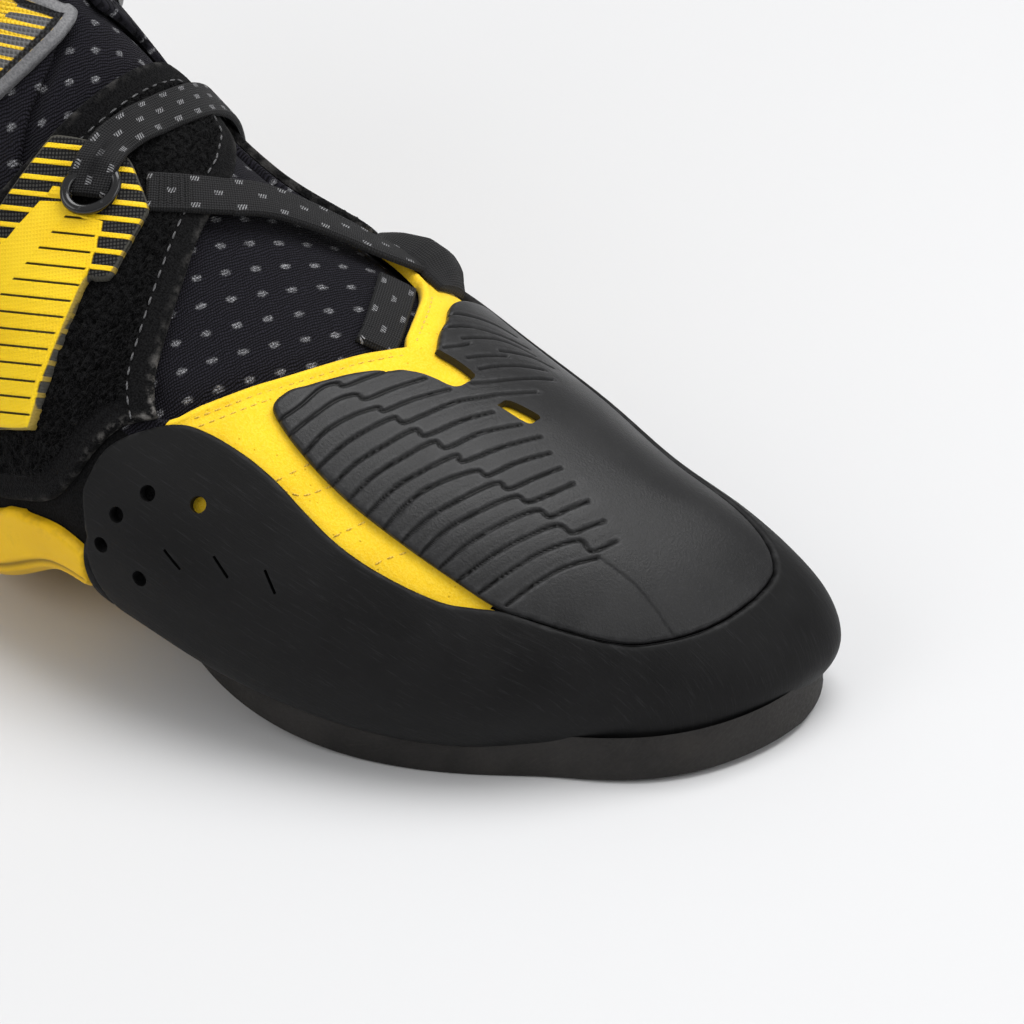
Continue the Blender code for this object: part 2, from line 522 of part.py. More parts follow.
clear_scene()
make_upper()
make_tongue()
make_insole()
holes = [rounded_slot(k, w, 2 * VENT_RADIUS, 2 * VENT_RADIUS, 0) for k, w in VENTS]
holes += [rounded_slot(k, w, SLIT_LENGTH, SLIT_WIDTH, SLIT_TURN) for k, w in SLITS]
make_rand(cutter("rand_cuts", holes))
make_outsole()
openings = [np.array([on_last(k, w) for k, w in outline]) for outline in (DIAMOND, NOTCH)]
make_toe_patch(cutter("patch_cuts", openings))
overlay("heel_cup", patch(CUP_LATERAL, CUP_MEDIAL, CUP_FRONT, CUP_REAR, 16, 12), GAP, CUP_WALL, (.9, .6, .02), .5)
make_heel_sole()
overlay("flap_lateral", patch(FLAP_LOWER, FLAP_UPPER, FLAP_FRONT, FLAP_REAR, 9, 9), GAP, QUARTER_WALL,
        (.01, .01, .01), .95)
overlay("quarter_medial", patch(MEDIAL_LOWER, MEDIAL_UPPER, MEDIAL_FRONT, MEDIAL_REAR, 9, 6), GAP, QUARTER_WALL,
        (.01, .01, .01), .95)
ring_hole = rounded_slot(*RING_PLACE, RING_LONG - 2 * RING_WIRE, RING_WIDE - 2 * RING_WIRE, np.pi / 2, 12)
overlay("closure_tab", patch(TAB_LOWER, TAB_UPPER, TAB_FRONT, TAB_REAR, 8, 9), ON_QUARTER, TAB_WALL,
        (.9, .62, .03), .4, cutter("tab_cut", [ring_hole]))
make_ring()
make_ribbon("webbing_upper", WEBBING_UPPER, [ON_TAB, ON_QUARTER, ON_QUARTER, ON_QUARTER, ON_QUARTER, ON_QUARTER], 14)
make_ribbon("webbing_middle", WEBBING_MIDDLE, [ON_QUARTER, ON_QUARTER, .6 * ON_QUARTER, GAP], 16)
make_ribbon("webbing_lower", WEBBING_LOWER, [tongue_top(k + .25) + GAP for k, _ in WEBBING_LOWER], 7)
make_ribbon("guide_loop", GUIDE_LOOP, [GAP, .6 * LOOP_RISE, LOOP_RISE, LOOP_RISE, .6 * LOOP_RISE, GAP], 12)
make_ribbon("heel_pull_loop", PULL_LOOP, [GAP, PULL_RISE, PULL_RISE, GAP], 8, PULL_WIDTH)
for side, name in ((1, "ankle_patch_lateral"), (-1, "ankle_patch_medial")):
    edges = [[(k, side * w) for k, w in edge] for edge in (ANKLE_LOWER, ANKLE_UPPER, ANKLE_FRONT, ANKLE_REAR)]
    overlay(name, patch(*edges, 9, 6), GAP, QUARTER_WALL, (.2, .2, .21), .6)
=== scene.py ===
"""Looks of the climbing shoe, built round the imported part. Metres, +X to the toe, +Y to the big-toe side.

A place on the shoe is (k, w): k is the section of the last, 0 under the toe and 21 at the collar,
and w goes round the section, 0 on top, 1 or -1 underneath, and negative on the little-toe side."""

import math

import bmesh
import bpy
import numpy as np
from mathutils import Matrix, Vector
from mathutils.kdtree import KDTree


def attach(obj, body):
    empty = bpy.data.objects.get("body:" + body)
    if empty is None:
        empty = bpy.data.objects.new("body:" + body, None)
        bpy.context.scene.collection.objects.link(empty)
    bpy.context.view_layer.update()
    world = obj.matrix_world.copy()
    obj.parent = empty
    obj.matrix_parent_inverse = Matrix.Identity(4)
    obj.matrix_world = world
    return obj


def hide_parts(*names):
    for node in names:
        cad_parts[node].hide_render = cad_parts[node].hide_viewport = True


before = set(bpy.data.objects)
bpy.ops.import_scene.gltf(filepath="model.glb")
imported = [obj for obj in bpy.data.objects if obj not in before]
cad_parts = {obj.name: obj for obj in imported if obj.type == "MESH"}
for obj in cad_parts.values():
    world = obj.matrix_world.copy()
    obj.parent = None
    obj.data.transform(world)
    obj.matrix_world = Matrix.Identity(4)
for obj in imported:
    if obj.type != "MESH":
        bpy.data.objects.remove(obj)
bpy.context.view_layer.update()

# The last
LENGTH = 0.2325
HEIGHT = 0.105
BALL_WIDTH = 0.085
HEEL_REST_X = 0.037

# Walls and clearances
GAP = 0.0003
WALL = 0.0018
TONGUE_WALL = 0.0016
INSOLE_WALL = 0.0020
INSOLE_GAP = 0.0005
RAND_WALL = 0.0018
PATCH_WALL = 0.0014
CUP_WALL = 0.0018
QUARTER_WALL = 0.0014
TAB_WALL = 0.0018
WEBBING_WALL = 0.0011
WEBBING_WIDTH = 0.0067
TONGUE_CROWN = 0.0011

# Sole: the section where its tip ends and its two sides start, the rounding of its lower edge, how many
# times its outline and then its margins and its underside are evened out, and the heel's wall
SOLE_TIP = 1.3
SOLE_ROUND = 0.0004
OUTLINE_ROUNDS = 700
MARGIN_ROUNDS = 60
LIFT_ROUNDS = 300
HEEL_EDGE = 0.0042

# Holes and hardware
VENT_RADIUS = 0.00135
SLIT_LENGTH = 0.0042
SLIT_WIDTH = 0.0005
RING_LONG = 0.0103
RING_WIDE = 0.0084
RING_WIRE = 0.0017
LOOP_RISE = 0.0042
LOOP_WIDTH = 0.0085
LOOP_DROOP = 0.0036
PULL_RISE = 0.0035
PULL_WIDTH = 0.010

# Heights of what lies on the last's surface
ON_QUARTER = 2 * GAP + QUARTER_WALL
ON_TAB = ON_QUARTER + TAB_WALL + GAP

# Steps of the meshes, and the reach of a cut
SEAM_STEPS = 45
SLOPE_STEP = 1e-3
DRILL = 0.006
UV_SECTIONS = 64
UV_STEPS = 80
SHARP_ANGLE = 0.9

# Each section is a closed curve between a point underneath and a point on top. Columns: x and z
# underneath, x and z on top, y underneath and on top, half width on the little-toe side and on the
# big-toe side, height of the widest point, fullness below it and above it. The x columns are shares of
# LENGTH from the heel's back, the z columns of HEIGHT, and the y and width columns of BALL_WIDTH.
LAST = np.array([
    [.938, .048, .942, .048, .100, .106, .007, .007, .50, 2.0, 2.0],
    [.912, .044, .978, .057, .076, .140, .200, .126, .45, 2.3, 2.1],
    [.895, .042, .992, .100, .053, .165, .282, .150, .40, 2.9, 2.0],
    [.877, .040, .982, .160, .053, .165, .329, .176, .35, 3.4, 1.95],
    [.856, .040, .957, .222, .041, .141, .376, .206, .32, 3.6, 1.9],
    [.826, .041, .920, .286, .018, .100, .435, .241, .30, 3.6, 1.9],
    [.787, .042, .866, .348, .000, .041, .476, .291, .30, 3.6, 1.9],
    [.735, .050, .802, .410, -.018, .006, .506, .347, .31, 3.6, 1.95],
    [.671, .075, .730, .467, -.035, -.024, .524, .388, .32, 3.6, 2.0],
    [.602, .118, .661, .524, -.053, -.041, .524, .412, .33, 3.6, 2.05],
    [.533, .142, .597, .586, -.065, -.059, .500, .412, .33, 3.8, 2.0],
    [.456, .050, .537, .662, -.065, -.065, .465, .394, .32, 4.0, 2.0],
    [.374, .052, .485, .740, -.053, -.053, .412, .365, .34, 3.4, 2.0],
    [.288, .055, .452, .805, -.041, -.041, .388, .365, .34, 3.0, 2.0],
    [.202, .058, .426, .850, -.029, -.024, .371, .362, .32, 2.7, 2.0],
    [.116, .064, .409, .876, -.012, -.012, .359, .353, .30, 2.4, 2.0],
    [.039, .133, .396, .895, .000, .000, .353, .347, .32, 2.1, 2.0],
    [.000, .314, .387, .914, .000, .000, .341, .341, .38, 2.1, 2.0],
    [.004, .495, .379, .933, .000, .000, .341, .341, .45, 2.1, 2.0],
    [.022, .648, .372, .952, .000, .000, .341, .347, .50, 2.1, 2.0],
    [.022, .800, .366, .976, .000, .000, .353, .353, .50, 2.1, 2.0],
    [.009, .933, .361, 1.00, .000, .000, .365, .365, .50, 2.1, 2.0],
])
COLLAR = len(LAST) - 1

# The section where the tongue starts to rise between the upper's edges
TONGUE_RISE = 8.5

# How far the tongue reaches under the upper's edges, as a share of half the way round
TONGUE_TUCK = .055

# How much further back and lower the ankle patch of the big-toe side sits
ANKLE_SHIFT = (.4, .035)

# Outlines, each a short row of (k, w)
THROAT_LATERAL = [(8.45, 0), (8.56, -.022), (8.69, -.051), (8.85, -.094), (9, -.132), (9.15, -.166),
                  (9.29, -.201), (9.42, -.233), (9.62, -.278), (10.2, -.287), (11.2, -.27), (12.4, -.24),
                  (13.3, -.17), (14, -.08), (15, -.05), (21, -.05)]
THROAT_MEDIAL = [(8.45, 0), (8.54, .019), (8.61, .045), (8.75, .098), (8.87, .138), (9.1, .178),
                 (9.8, .22), (11, .22), (12.4, .20), (13.3, .15), (14, .08), (15, .05), (21, .05)]
INSOLE_EDGE = [(1.2, .10), (2, .19), (3, .24), (5, .26), (9, .25), (12, .26), (14.6, .28), (15.5, .22)]
FEATHER = [(1.3, 0), (1.36, .12), (1.5, .25), (1.85, .41), (2.4, .55), (3.2, .63), (4.2, .67), (5.6, .70),
           (7, .72), (8, .74), (8.6, .77), (9.1, .83), (9.4, .92)]
RAND_SEAM = [(9.90, -.43), (9.90, -.36), (9.66, -.303), (9.35, -.264), (8.84, -.251), (8.31, -.257),
             (7.60, -.284), (7.05, -.294), (6.4, -.290), (5.9, -.267), (5.23, -.262), (4.45, -.243),
             (3.99, -.175), (3.88, -.098), (3.95, -.02), (4.25, .06), (4.8, .125), (5.6, .18), (6.5, .22),
             (7.5, .26), (8.5, .30), (9.3, .345), (9.8, .42)]
RAND_UNDER = [(9.2, -.62), (9.1, -.75), (8.5, -.80), (7.6, -.81), (6.4, -.81), (5.2, -.80), (4.2, -.79),
              (3.4, -.76), (2.7, -.70), (2.0, -.58), (1.45, -.42), (1.1, -.22), (1.0, 0), (1.1, .22),
              (1.45, .42), (2.0, .58), (2.7, .70), (3.4, .76), (4.4, .79), (5.8, .80), (7.4, .81),
              (8.6, .79), (9.1, .64)]
SEAM_CORNERS = (9, 17, 20)
PATCH_LATERAL = [(8.88, -.168), (8.86, -.178), (8.78, -.186), (8.56, -.198), (8.32, -.208), (8.09, -.217),
                 (7.55, -.234), (6.94, -.248), (6.58, -.254), (6.21, -.261)]
PATCH_REAR = [(8.88, -.168), (8.85, -.147), (8.76, -.128), (8.69, -.111), (8.53, -.077), (8.41, -.058),
              (8.30, -.045), (8.24, -.02), (8.22, .01), (8.25, .03), (8.34, .05), (8.42, .09), (8.55, .13),
              (8.60, .17), (8.57, .21)]
CUP_LATERAL = [(9.62, -.515), (10.3, -.502), (11, -.502), (12, -.525), (13, -.55), (14.2, -.55),
               (15.4, -.55), (16.6, -.58), (17.6, -.66), (18.4, -.80)]
CUP_MEDIAL = [(9.98, -1.47), (11, -1.475), (12, -1.46), (13, -1.44), (14.2, -1.44), (15.4, -1.45),
              (16.6, -1.42), (17.6, -1.34), (18.4, -1.20)]
CUP_FRONT = [(9.62, -.515), (9.52, -.62), (9.58, -.76), (9.68, -.9), (9.7, -1.0), (9.68, -1.1), (9.58, -1.24),
             (9.6, -1.36), (9.98, -1.47)]
CUP_REAR = [(18.4, -.80), (18.75, -.90), (18.85, -1.0), (18.75, -1.10), (18.4, -1.20)]
FLAP_FRONT = [(9.66, -.283), (9.92, -.25), (10.15, -.193), (10.41, -.125), (10.66, -.057), (10.94, .05)]
FLAP_REAR = [(13.4, -.535), (13.15, -.42), (12.95, -.32), (12.8, -.22), (12.76, -.05), (12.64, .10)]
FLAP_LOWER = [(9.66, -.283), (9.98, -.34), (10.05, -.41), (10.25, -.475), (10.9, -.488), (12, -.51),
              (13.4, -.535)]
FLAP_UPPER = [(10.94, .05), (11.3, .12), (11.8, .15), (12.3, .15), (12.64, .10)]
MEDIAL_FRONT = [(9.95, .37), (9.85, .31), (9.95, .245)]
MEDIAL_REAR = [(13.4, .53), (13.1, .40), (12.9, .24)]
MEDIAL_LOWER = [(9.95, .37), (10.12, .46), (10.9, .51), (12.2, .52), (13.4, .53)]
MEDIAL_UPPER = [(9.95, .245), (10.8, .24), (11.9, .235), (12.9, .24)]
TAB_FRONT = [(10.77, -.384), (10.735, -.372), (10.90, -.305), (11.10, -.222), (11.11, -.208),
             (10.97, -.193), (10.98, -.17), (11.11, -.112)]
TAB_REAR = [(12.4, -.46), (12.5, -.35), (12.6, -.25), (12.72, -.149)]
TAB_LOWER = [(10.77, -.384), (11.08, -.403), (11.57, -.443), (12.4, -.46)]
TAB_UPPER = [(11.11, -.112), (11.17, -.099), (11.45, -.088), (11.69, -.082), (11.84, -.089),
             (12.24, -.111), (12.63, -.139), (12.72, -.149)]
ANKLE_FRONT = [(14.6, -.42), (14.2, -.29), (14.05, -.214), (13.98, -.171), (13.96, -.123), (13.99, -.085),
               (14.03, -.062), (14.10, -.045)]
ANKLE_REAR = [(19.5, -.42), (19.6, -.30), (19.7, -.17), (20.2, -.09)]
ANKLE_LOWER = [(14.6, -.42), (16.3, -.43), (18.3, -.43), (19.5, -.42)]
ANKLE_UPPER = [(14.10, -.045), (14.2, -.030), (14.35, -.020), (14.5, -.018), (14.82, -.024), (15.1, -.036),
               (16.4, -.065), (18.4, -.075), (20.2, -.09)]
RING_PLACE = (11.74, -.145)
WEBBING_UPPER = [(11.9, -.125), (12.0, -.093), (12.0, -.06), (11.97, -.027), (11.93, .008), (11.9, .052),
                 (11.9, .11), (11.9, .168), (11.92, .24), (11.9, .35)]
WEBBING_MIDDLE = [(11.33, -.087), (11.09, -.054), (10.76, -.006), (10.45, .052), (10.14, .094),
                  (9.80, .131), (9.55, .157), (9.30, .205), (9.18, .275)]
WEBBING_LOWER = [(8.66, -.022), (8.76, .012), (8.89, .055), (9.06, .11), (9.12, .128)]
GUIDE_LOOP = [(8.80, .225), (8.95, .23), (9.15, .24), (9.35, .245), (9.6, .245), (9.8, .24)]
NOTCH = [(8.75, -.045), (8.36, -.05), (8.10, -.033), (7.87, -.027), (7.80, -.021), (7.78, -.010),
         (7.78, .010), (7.85, .017), (8.02, .019), (8.17, .017), (8.27, .020), (8.34, .030), (8.75, .040)]
DIAMOND = [(7.42, -.014), (7.38, .006), (7.10, .013), (7.07, -.004), (7.12, -.014)]
PULL_LOOP = [(19.05, 1), (19.5, 1), (20, 1), (20.4, 1), (20.8, 1)]
RAND_REACH = [(0, 0), (1, 0), (1.6, .30), (2.4, .24), (3.3, .16), (4.2, .12), (8.9, .12), (9.2, .14),
              (9.4, .3)]
SOLE_LIFT = [(0, .010), (1.3, .012), (2.2, .006), (3.3, 0), (6.3, 0), (7, .004), (7.6, .018), (8.2, .042),
             (8.8, .068), (9.4, .098)]
HEEL_SOLE_EDGE = [(13, .10), (13.3, .165), (14, .205), (15, .215), (15.5, .185), (15.9, .09)]
CUP_CREASE = [(9.6, -.60), (10.4, -.61), (11.5, -.645), (13, -.68), (15, -.70), (17, -.78), (18.0, -1.0),
              (17, -1.22), (15, -1.30), (13, -1.32), (11.5, -1.36), (10.2, -1.38)]

# How far the sole's edge stands out beyond its own smoothed line, and how far its upper edge is lifted
# towards the rand, each at some sections
SOLE_MARGINS = [(SOLE_TIP, .0064), (2.2, .0036), (3.5, .0016), (7, .0017), (9.4, .0024)]
SOLE_RISES = [(SOLE_TIP, .0030), (2.4, .0033), (3, .0038), (5, .0032), (6, .0014), (9.4, .0012)]

# Holes as (k, w), and slits as (k, w, turn)
VENTS = [(9.27, -.372), (8.80, -.342), (9.44, -.428), (9.46, -.488), (8.96, -.495)]
SLITS = [(8.74, -.432, -.30), (8.31, -.397, -.42), (7.85, -.377, -.67)]


def smooth_between(rows, at):
    """Rows read at places between them, joined smoothly. at counts the rows from 0."""
    padded = np.concatenate([2 * rows[:1] - rows[1:2], rows, 2 * rows[-1:] - rows[-2:-1]])
    i = np.minimum(at.astype(int), len(rows) - 2)
    f = (at - i).reshape(at.shape + (1,) * (rows.ndim - 1))
    a, b, c, d = padded[i], padded[i + 1], padded[i + 2], padded[i + 3]
    square, cube = 2 * a - 5 * b + 4 * c - d, 3 * b - a - 3 * c + d
    return .5 * (2 * b + (c - a) * f + square * f ** 2 + cube * f ** 3)


def curve(points, count):
    """Points evenly spread along a smooth curve through the given ones, ends kept."""
    return smooth_between(np.array(points, float), np.linspace(0, len(points) - 1, count))


def width_at(outline, k):
    """The w of an outline at section k."""
    p = curve(outline, 12 * len(outline))
    return np.interp(k, p[:, 0], p[:, 1])


def value_at(pairs, k):
    """A value given at some sections, read straight between them."""
    return np.interp(k, *zip(*pairs))


def section(k):
    """The last's table at any k, joined smoothly, with the ends held."""
    return np.moveaxis(smooth_between(LAST, np.clip(k, 0, COLLAR)), -1, 0)


def on_last(k, w):
    """The point of the last's surface at (k, w)."""
    k, w = np.broadcast_arrays(np.asarray(k, float), np.asarray(w, float))
    xb, zb, xt, zt, yb, yt, lateral, medial, middle, low, high = section(k)
    w = (w + 1) % 2 - 1
    turn = np.abs(w) * np.pi
    c, s = np.cos(turn), np.abs(np.sin(turn))
    fullness = np.where(c >= 0, high, low)
    reach = np.abs(c) ** (2 / fullness)
    t = np.where(c >= 0, middle + (1 - middle) * reach, middle - middle * reach)
    half = np.where(w < 0, -lateral, medial) * s ** (2 / fullness)
    x = (xb + (xt - xb) * t) * LENGTH - HEEL_REST_X
    y = (yb + (yt - yb) * t + half) * BALL_WIDTH
    z = (zb + (zt - zb) * t) * HEIGHT
    return np.stack([x, y, z], axis=-1)


def outward(k, w):
    """The unit normal of the last's surface."""
    k = np.clip(np.asarray(k, float), SLOPE_STEP, COLLAR - SLOPE_STEP)
    along = on_last(k + SLOPE_STEP, w) - on_last(k - SLOPE_STEP, w)
    across = on_last(k, w + SLOPE_STEP) - on_last(k, w - SLOPE_STEP)
    normal = np.cross(across, along)
    return normal / np.maximum(np.linalg.norm(normal, axis=-1, keepdims=True), 1e-12)


def skin(k, w, height):
    """The last's surface moved out by a height."""
    return on_last(k, w) + outward(k, w) * np.asarray(height)[..., None]


def patch(lateral, medial, rear, front, along, across):
    """A grid of (k, w) inside four outlines, each corner shared by two of them."""
    t, s = np.linspace(0, 1, along)[:, None, None], np.linspace(0, 1, across)[None, :, None]
    a, b = curve(lateral, along)[:, None], curve(medial, along)[:, None]
    r, f = curve(rear, across)[None], curve(front, across)[None]
    corners = (1 - s) * ((1 - t) * a[0] + t * a[-1]) + s * ((1 - t) * b[0] + t * b[-1])
    return np.moveaxis((1 - s) * a + s * b + (1 - t) * r + t * f - corners, -1, 0)


def sidestep(places, distance):
    """An outline of (k, w) moved sideways on the surface by a real distance."""
    k, w = places[:, 0], places[:, 1]
    point = on_last(k, w)
    heading = np.gradient(point, axis=0)
    side = np.cross(outward(k, w), heading)
    side /= np.linalg.norm(side, axis=-1, keepdims=True)
    along = (on_last(k + SLOPE_STEP, w) - on_last(k - SLOPE_STEP, w)) / (2 * SLOPE_STEP)
    across = (on_last(k, w + SLOPE_STEP) - on_last(k, w - SLOPE_STEP)) / (2 * SLOPE_STEP)
    moved = []
    for place, dk, dw, way in zip(places, along, across, side):
        step = np.linalg.lstsq(np.stack([dk, dw], axis=1), way * distance, rcond=None)[0]
        moved.append(place + step)
    return np.array(moved)


def surface_axes(k, w):
    """A point on the surface with the direction to the collar, the direction across and the normal."""
    normal = outward(k, w)
    along = on_last(k + SLOPE_STEP, w) - on_last(k - SLOPE_STEP, w)
    along /= np.linalg.norm(along)
    return on_last(k, w), along, np.cross(normal, along), normal


def rounded_slot(k, w, length, width, turn, corners=10):
    """The outline of a round-ended slot on the surface. Equal length and width give a circle."""
    point, along, across, _ = surface_axes(k, w)
    angle = np.arange(corners) * 2 * np.pi / corners + np.pi / corners
    straight = (length - width) / 2 * np.sign(np.cos(angle))
    u, v = np.cos(angle) * width / 2 + straight, np.sin(angle) * width / 2
    u, v = u * np.cos(turn) - v * np.sin(turn), u * np.sin(turn) + v * np.cos(turn)
    return point + u[:, None] * along + v[:, None] * across


# Grooves in the toe rubber, from the little-toe edge over the step to the end, then those across the big toe
GROOVES = [
    [(8.73, -.195), (8.67, -.161), (8.65, -.125), (8.58, -.108), (8.51, -.106), (8.44, -.084), (8.35, -.056)],
    [(8.55, -.197), (8.51, -.159), (8.46, -.125), (8.37, -.106), (8.28, -.105), (8.19, -.075), (8.06, -.035)],
    [(8.33, -.209), (8.33, -.17), (8.26, -.135), (8.15, -.106), (8.08, -.105), (7.99, -.074), (7.83, -.03)],
    [(8.15, -.215), (8.12, -.171), (8.06, -.137), (7.97, -.105), (7.87, -.105), (7.78, -.072), (7.69, -.038),
     (7.58, -.014), (7.44, .024), (7.31, .065)],
    [(7.94, -.225), (7.92, -.185), (7.85, -.146), (7.76, -.105), (7.65, -.105), (7.53, -.06), (7.41, -.026)],
    [(7.74, -.23), (7.72, -.185), (7.65, -.147), (7.56, -.106), (7.44, -.106), (7.33, -.062), (7.15, -.02)],
    [(7.53, -.237), (7.51, -.187), (7.44, -.151), (7.33, -.108), (7.24, -.111), (7.10, -.065), (6.94, -.02)],
    [(7.33, -.242), (7.33, -.192), (7.26, -.154), (7.10, -.113), (6.99, -.111), (6.90, -.075), (6.76, -.034)],
    [(7.13, -.25), (7.10, -.201), (7.01, -.158), (6.88, -.113), (6.76, -.113), (6.67, -.08), (6.58, -.046)],
    [(6.92, -.25), (6.90, -.204), (6.81, -.163), (6.67, -.117), (6.54, -.115), (6.45, -.087), (6.38, -.056)],
    [(6.69, -.25), (6.65, -.204), (6.56, -.159), (6.42, -.118), (6.29, -.118), (6.22, -.094), (6.15, -.068)],
    [(6.47, -.255), (6.40, -.204), (6.31, -.163), (6.17, -.122), (6.01, -.123), (5.95, -.105), (5.88, -.084)],
    [(6.22, -.257), (6.15, -.206), (6.06, -.163), (5.90, -.127), (5.72, -.134), (5.63, -.103)],
    [(5.92, -.257), (5.88, -.216), (5.79, -.173), (5.63, -.139)],
    [(8.51, .091), (8.44, .12), (8.31, .156), (8.17, .185), (8.0, .205)],
    [(8.40, .053), (8.33, .083), (8.24, .114), (8.1, .144), (7.95, .170), (7.8, .19)],
    [(8.17, .072), (8.10, .10), (8.01, .132), (7.87, .158), (7.7, .175)],
    [(8.19, .028), (8.12, .052), (8.08, .074)],
    [(7.87, .107), (7.78, .132), (7.67, .16), (7.5, .18)],
    [(7.97, .04), (7.90, .067), (7.78, .107)],
    [(7.81, .033), (7.74, .064), (7.63, .103), (7.49, .144)],
    [(7.74, -.003), (7.63, .026), (7.51, .071), (7.35, .132)],
]
PATCH_SEAM_LINE = [(5.63, -.139), (5.04, -.159), (4.2, -.204)]
BAND_CREASES = [
    [(8.37, -.25), (8.26, -.214)],
    [(8.26, -.259), (8.1, -.25), (7.97, -.223)],
    [(7.63, -.274), (7.53, -.244)],
    [(7.19, -.298), (7.17, -.278), (7.06, -.254)],
]

# Finer sizes that only the looks need
GROUND_GAP = .0001
GROOVE_DEPTH = .00036
GROOVE_WIDTH = .00026
GROOVE_LIP = .00005
SEAM_SHOW = .00012
PILE_BORDER = .0040
HEM_ROWS = (.0017, .0032)
BINDING_RADIUS = .0016
BINDING_WALL = .00135

# The knit's cords and the loops in them, and its marks' lattice: steps for each metre along and across
KNIT_CORD = .00050
KNIT_LOOP = .00046
KNIT_LATTICE = ((-125.3, 148.9), (-174.1, -101.7))

# The webbing's marks: the rows' distance, and the pitch of the strokes in a mark
STROKE_ROWS = .0024
STROKE_PITCH = .00044

# The camera, with its lens given in picture points
TARGET = (.1471, -.0043, .0295)
DISTANCE = 1.2
VIEW_TURN = math.radians(36)
VIEW_RISE = math.radians(34)
PICTURE = 1024
FOCAL = 7560

# The patterns of the tab and the ankle patches, in picture points from the upper left corner: outlines of
# the tab's yellow slab and of the piece round its ring, the line where the slab's ribs end, and the slope,
# the pitch and the place of the stripes and grooves
SLAB = [(33, 209), (40, 201), (71, 202), (84, 215), (103, 221.7), (101.5, 232), (98, 239), (96.7, 250),
        (93.5, 255.5), (91, 267), (88.6, 271.6), (83, 287), (74, 304), (67, 320), (59, 336), (52, 352),
        (46, 368), (39, 385), (35, 401), (33, 430), (-60, 440), (-60, 305), (-30, 270), (0, 244.2),
        (8, 237.8), (17.7, 225.7)]
RING_PIECE = [(48, 194), (53, 186), (60, 187), (65, 198)]
RIB_END = (64.5, 217)
RIB_END_SLOPE = .822
TAB_SLOPE = .105
STRIPE_PITCH = 16.75
STRIPE_START = 139.8 - STRIPE_PITCH / 2
GROOVE_PITCH = 16.81
GROOVE_START = 201.6
ANKLE_SLOPE = .21
ANKLE_PITCH = 12.6


def stations(count, near):
    """Shares from 0 to 1, evenly spread but for some extra ones near both ends, where an edge is rounded."""
    extra = near * np.array([.06, .22, .45, .75, 1.1])
    middle = np.linspace(near * 1.6, 1 - near * 1.6, count - 12)
    return np.concatenate([[0], extra, middle, 1 - extra[::-1], [1]])


def refine(grid, along, across):
    """A coarse (k, w) grid resampled smoothly at given shares along and across."""
    rows = np.moveaxis(np.asarray(grid, float), 0, -1)
    rows = smooth_between(rows, along * (len(rows) - 1))
    columns = np.moveaxis(rows, 1, 0)
    columns = smooth_between(columns, across * (len(columns) - 1))
    return np.moveaxis(np.moveaxis(columns, 0, 1), -1, 0)


def dense(path, step):
    """Points every step or so along a run of points."""
    path = np.asarray(path)
    found = []
    for a, b in zip(path[:-1], path[1:]):
        n = max(int(np.linalg.norm(b - a) / step), 1)
        found.append(a + (b - a) * np.linspace(0, 1, n, endpoint=False)[:, None])
    return np.vstack(found + [path[-1:]])


def distance_to(points, paths, step):
    """The distance of each point to the nearest of some runs of points."""
    marks = np.vstack([dense(path, step) for path in paths])
    tree = KDTree(len(marks))
    for i, mark in enumerate(marks):
        tree.insert(mark, i)
    tree.balance()
    flat = points.reshape(-1, 3)
    return np.array([tree.find(p)[2] for p in flat]).reshape(points.shape[:-1])


def rim(points):
    """The four borders of a grid of points."""
    return [points[0], points[-1], points[:, 0], points[:, -1]]


def roll(distance, radius):
    """0 at an edge, 1 from a radius in, with a round shoulder."""
    t = np.clip(distance / radius, 0, 1)
    return np.sqrt(1 - (1 - t) ** 2)


def rise(value, low, high):
    """A smooth step from 0 to 1."""
    t = np.clip((value - low) / (high - low), 0, 1)
    return t * t * (3 - 2 * t)


def bell(distance, at, width):
    """A soft ridge: 1 at a distance, and falling away over a width on both sides of it."""
    return np.exp(-((distance - at) / width) ** 2)


def smoothed(points, times):
    """A run of points or values evened out some times, with its ends kept."""
    points = points.copy()
    for _ in range(times):
        points[1:-1] = (points[:-2] + 2 * points[1:-1] + points[2:]) / 4
    return points


def run_length(points):
    """How far along a run of points each of them lies."""
    return np.concatenate([[0], np.cumsum(np.linalg.norm(np.diff(points, axis=0), axis=1))])


def surface_uv(k, w):
    """Metres along the shoe and round it, the same for every piece, so that weaves run through."""
    ks = np.linspace(0, COLLAR, 400)
    length = run_length(on_last(ks, np.zeros(len(ks))))
    ws = np.linspace(-2, 2, 4 * UV_STEPS + 1)
    rings = on_last(np.linspace(0, COLLAR, UV_SECTIONS)[:, None], ws[None])
    girth = np.stack([run_length(ring) for ring in rings])
    girth -= girth[:, 2 * UV_STEPS:2 * UV_STEPS + 1]
    i = np.clip(k / COLLAR * (UV_SECTIONS - 1), 0, UV_SECTIONS - 1.001)
    j = np.clip((w + 2) * UV_STEPS, 0, 4 * UV_STEPS - .001)
    a, b = i.astype(int), j.astype(int)
    f, g = i - a, j - b
    near = girth[a, b] * (1 - f) + girth[a + 1, b] * f
    far = girth[a, b + 1] * (1 - f) + girth[a + 1, b + 1] * f
    return np.stack([np.interp(k, ks, length), near * (1 - g) + far * g], axis=-1)


def new_object(name, mesh, materials):
    """An object in the scene with its materials."""
    obj = bpy.data.objects.new(name, mesh)
    bpy.context.scene.collection.objects.link(obj)
    for material in materials:
        mesh.materials.append(material)
    return obj


